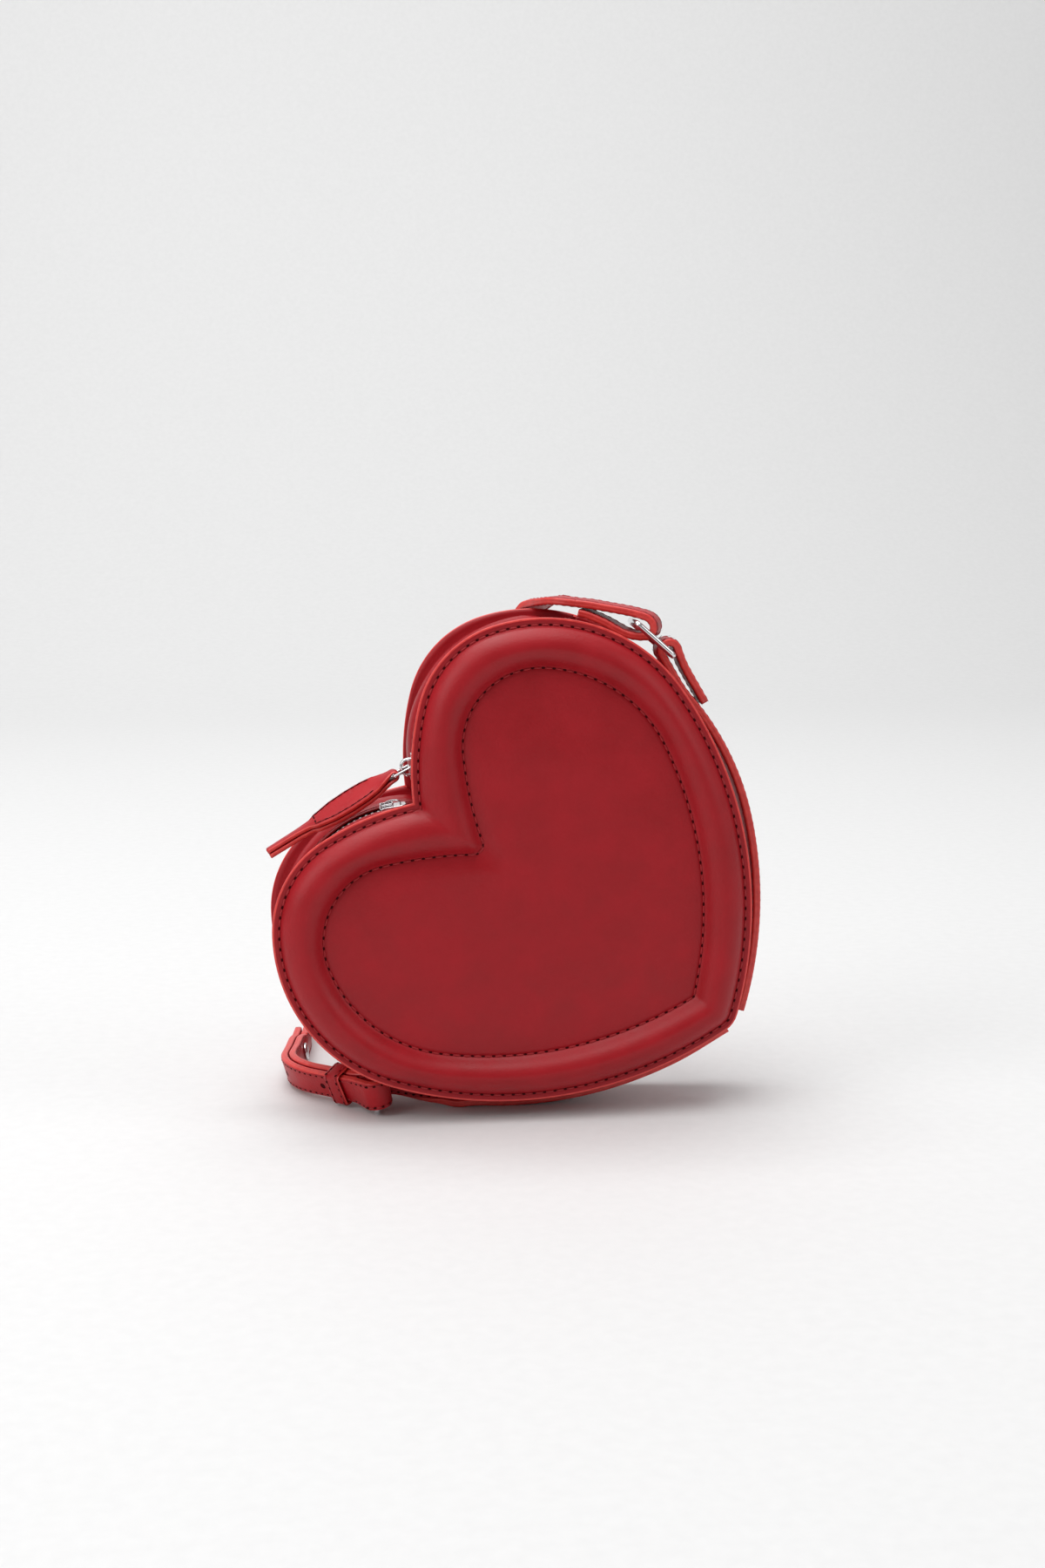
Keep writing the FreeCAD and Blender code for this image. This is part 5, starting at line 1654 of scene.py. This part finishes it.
@dataclass
class Fittings:
    """Plated metal: sliders with their bridges, the link, the short loop and the rings."""

    # Angle of each slider on its lobe's arc, and height of its bridge
    STANDS: ClassVar[dict[Lobe, Point]] = {Lobe.RIGHT: (132.0, 4.4), Lobe.LEFT: (136.0, 1.8)}

    shop: Workshop
    gusset: Gusset
    foot: float = 51.9

    def bent_wire(self, name: str, points: Sequence[Vector], width: Vector, radii: Point,
                  closed: bool) -> bpy.types.Object:
        """Sweep an oval wire through points.

        Args:
            name: the piece's name.
            points: places along the wire.
            width: direction of the oval's first radius.
            radii: the oval's two radii in millimetres.
            closed: whether the wire runs round into itself.

        Returns:
            The piece, not yet on a body.
        """
        turns = [math.tau * step / 14 for step in range(14)]
        rows = []
        for station in stationed(points, [width] * len(points)):
            wide, high = station.width * radii[0], station.ahead.cross(station.width) * radii[1]
            rows.append([station.place + (wide * math.cos(turn) + high * math.sin(turn)) * MM
                         for turn in turns])
        if closed:
            rows = rows[:-1] + [rows[0]]
        mesh = skin(rows, closed=True)
        if not closed:
            close_ends(mesh)
        return self.shop.piece(name, mesh, [self.shop.finishes.metal])

    def loop(self, name: str, first: Vector, last: Vector, axis: Vector, half: float,
             wire: float) -> bpy.types.Object:
        """Bend a wire into a rounded rectangle between two bars.

        Args:
            name: the piece's name.
            first: middle of one bar.
            last: middle of the other bar.
            axis: direction of both bars.
            half: half the distance between the sides, at the wire's middle.
            wire: the wire's radius in millimetres.

        Returns:
            The piece, not yet on a body.
        """
        along = last - first
        reach = along.length / 2 / MM
        along.normalize()
        bend = wire * 1.25
        points = []
        for number, (right, up) in enumerate(((1, 1), (-1, 1), (-1, -1), (1, -1))):
            for step in range(7):
                angle = math.radians(90.0 * number + 15.0 * step)
                points.append(first + along * (reach + right * (reach - bend) + bend * math.cos(angle)) * MM
                              + axis * (up * (half - bend) + bend * math.sin(angle)) * MM)
        points += points[:2]
        return self.bent_wire(name, points, along.cross(axis), (wire, wire), True)

    def rings(self) -> None:
        """Build the two rings on their bars."""
        for side in Lobe:
            node = "ring_" + side.label
            bar, axis = joint_of(node + "_swing")
            corners = [Vector(corner) for corner in frame["nodes"][node].bound_box]
            along = sum(corners, Vector()) / len(corners) - bar
            along -= axis * along.dot(axis)
            made = self.loop(node + "_wire", bar, bar + along * 2, axis, 8.7, 1.3)
            self.shop.set_on(made, node, [node], "bright_metal")

    def pulls(self) -> None:
        """Build the wire link and the short loop on the left slider."""
        bridge_bar, pull_bar = joint_of("link_swing")[0], joint_of("pull_swing")[0]
        made = self.loop("pull_link_wire", bridge_bar, pull_bar, Y_AXIS, 3.7, 0.6)
        self.shop.set_on(made, "pull_link", ["pull_link"], "bright_metal")
        bar = joint_of("short_pull_swing")[0]
        angle, _ = self.STANDS[Lobe.LEFT]
        here = self.gusset.arc(Lobe.LEFT, self.foot, 0.0, angle)
        ahead = self.gusset.arc(Lobe.LEFT, self.foot, 0.0, angle - 1.0) - here
        made = self.loop("short_pull_loop", bar, bar + ahead.normalized() * 4.8 * MM, Y_AXIS, 2.25, 0.42)
        self.shop.set_on(made, "short_pull", ["short_pull"], "bright_metal")

    def slider(self, lobe: Lobe, angle: float) -> None:
        """Build a cast slider: two plates with rounded edges and the post between them.

        Args:
            lobe: the lobe that it runs on.
            angle: where it stands on the lobe's arc, in degrees.
        """
        out = self.gusset.out(lobe, angle)
        ahead = Y_AXIS.cross(out)
        turned = Matrix((ahead, Y_AXIS, out)).transposed().to_4x4()
        place = Matrix.Translation(self.gusset.arc(lobe, LOBE_RADIUS, 0.0, angle)) @ turned
        mesh = bmesh.new()
        plates = ((10.8, 8.6, -0.35, 0.88), (10.8, 8.6, -4.4, -3.3), (2.0, 1.8, -3.4, -0.3))
        for length, width, low, high in plates:
            part = bmesh.new()
            bmesh.ops.create_cube(part, size=MM)
            bmesh.ops.scale(part, vec=(length, width, high - low), verts=part.verts)
            upright = [edge for edge in part.edges if abs(edge.verts[0].co.z - edge.verts[1].co.z) > 1e-6]
            round_off(part, upright, min(2.2, width / 4), 4)
            round_off(part, level_edges(part), 0.3, 2)
            bmesh.ops.translate(part, vec=(0.0, 0.0, (low + high) / 2 * MM), verts=part.verts)
            bmesh.ops.transform(part, matrix=place, verts=part.verts)
            data = bpy.data.meshes.new("slider_part")
            part.to_mesh(data)
            part.free()
            mesh.from_mesh(data)
            bpy.data.meshes.remove(data)
        node = "slider_" + lobe.label
        made = self.shop.piece(node + "_casting", mesh, [self.shop.finishes.metal], ready=True)
        for polygon in made.data.polygons:
            polygon.use_smooth = polygon.area < 2 * MM * MM
        self.shop.set_on(made, node, [node], "bright_metal")

    def bridge(self, lobe: Lobe, angle: float, top: float) -> None:
        """Build a bridge as a bent wire over a slider.

        Args:
            lobe: the slider's lobe.
            angle: where the slider stands on the lobe's arc, in degrees.
            top: height of the wire's middle over the slider.
        """
        arch = ((-3.0, -0.07), (-3.1, 0.27), (-2.9, 0.59), (-2.0, 0.86), (-0.5, 1.0), (1.2, 0.95),
                (2.5, 0.73), (3.0, 0.41), (3.1, 0.14), (3.0, -0.07))
        points = [self.gusset.arc(lobe, self.foot + share * top, 0.0, angle - math.degrees(along / self.foot))
                  for along, share in arch]
        node = "slider_bridge_" + lobe.label
        thin = 0.62 if top > 3 else 0.33
        made = self.bent_wire(node + "_wire", smooth_line(points, 4), Y_AXIS, (1.0, thin), False)
        self.shop.set_on(made, "slider_" + lobe.label, [node], "bright_metal")

    def build(self) -> None:
        """Build every fitting."""
        for lobe, (angle, top) in self.STANDS.items():
            self.slider(lobe, angle)
            self.bridge(lobe, angle, top)
        self.rings()
        self.pulls()


@dataclass
class Studio:
    """Pale sweep, soft light and the camera at the photograph's place."""

    heart: HeartFrame
    lens: float = 50.0
    sensor: float = 36.0
    yaw: float = 7.0
    pitch: float = 9.0
    stand: tuple[float, float, float] = (-186.7, -851.8, 231.0)

    def camera(self) -> None:
        """Set the camera."""
        data = bpy.data.cameras.new("camera")
        data.lens = self.lens
        data.sensor_width = self.sensor
        made = bpy.data.objects.new("camera", data)
        made.location = self.heart.tip + Vector(self.stand) * MM
        made.rotation_euler = (math.radians(90 - self.pitch), 0.0, math.radians(-self.yaw))
        bpy.context.scene.collection.objects.link(made)
        bpy.context.scene.camera = made

    def sweep(self) -> None:
        """Floor that curves up into a backdrop."""
        mesh = bmesh.new()
        left, right = Vector((-3.0, -3.0, 0.0)), Vector((3.0, -3.0, 0.0))
        edge = mesh.edges.new([mesh.verts.new(left), mesh.verts.new(right)])
        out = bmesh.ops.extrude_edge_only(mesh, edges=[edge])["geom"]
        verts = [item for item in out if isinstance(item, bmesh.types.BMVert)]
        bmesh.ops.translate(mesh, verts=verts, vec=(0.0, 4.2, 0.0))
        edges = [item for item in out if isinstance(item, bmesh.types.BMEdge)]
        out = bmesh.ops.spin(mesh, geom=edges, cent=(0.0, 1.2, 1.0), axis=(1.0, 0.0, 0.0),
                             angle=math.pi / 2, steps=24)
        last = [item for item in out["geom_last"] if isinstance(item, bmesh.types.BMEdge)]
        out = bmesh.ops.extrude_edge_only(mesh, edges=last)["geom"]
        verts = [item for item in out if isinstance(item, bmesh.types.BMVert)]
        bmesh.ops.translate(mesh, verts=verts, vec=(0.0, 0.0, 2.0))
        bmesh.ops.recalc_face_normals(mesh, faces=mesh.faces)
        for face in mesh.faces:
            face.smooth = True
        data = bpy.data.meshes.new("studio_sweep")
        mesh.to_mesh(data)
        mesh.free()
        made = bpy.data.objects.new("studio_sweep", data)
        bpy.context.scene.collection.objects.link(made)
        material, tree, shader, place = fresh("white_paper_sweep")
        fibre = add_node(tree, "TexNoise", Vector=place, Scale=180.0, Detail=3.0).outputs["Fac"]
        paint(tree, shader, fibre, (0.3, 0.7), "D8D8D8", "DBDBDB")
        shader.inputs["Roughness"].default_value = 0.7
        data.materials.append(material)

    def lamp(self, name: str, place: tuple[float, float, float], size: tuple[float, float], power: float,
             goal: tuple[float, float, float] = (0.0, -0.05, 0.1)) -> None:
        """Hang one soft box that looks at the purse, or at another goal."""
        data = bpy.data.lights.new(name, "AREA")
        data.shape = "RECTANGLE"
        data.size, data.size_y = size
        data.energy = power
        made = bpy.data.objects.new(name, data)
        made.location = place
        aim = Vector(goal) - Vector(place)
        made.rotation_euler = aim.to_track_quat("-Z", "Y").to_euler()
        bpy.context.scene.collection.objects.link(made)

    def build(self) -> None:
        """Set the stage."""
        self.camera()
        self.sweep()
        self.lamp("top_box", (-0.3, -0.2, 1.9), (1.8, 1.4), 31.0)
        self.lamp("left_box", (-1.7, -1.0, 1.2), (1.2, 1.4), 16.5)
        self.lamp("right_box", (1.7, -0.9, 1.0), (1.0, 1.2), 7.0)
        self.lamp("backdrop_box", (0.0, 0.7, 2.4), (3.0, 0.6), 27.0, (0.0, 2.2, 0.9))
        scene = bpy.context.scene
        scene.view_settings.view_transform = "Standard"
        world = bpy.data.worlds.new("studio")
        world.use_nodes = True
        world.node_tree.nodes["Background"].inputs["Color"].default_value = (1.0, 1.0, 1.0, 1.0)
        world.node_tree.nodes["Background"].inputs["Strength"].default_value = 0.3
        scene.world = world


def main() -> None:
    """Build the purse piece by piece."""
    logging.basicConfig(level=logging.INFO, format="%(message)s")
    heart = HeartFrame()
    finishes = Finishes.make()
    shop = Workshop(finishes)
    Studio(heart).build()
    Panels(shop, heart).build()
    gusset = Gusset(shop, heart)
    gusset.build()
    bands = Banding(shop, heart)
    bands.build()
    LeatherPull(shop, bands).build()
    Fittings(shop, gusset).build()


if __name__ == "__main__":
    main()
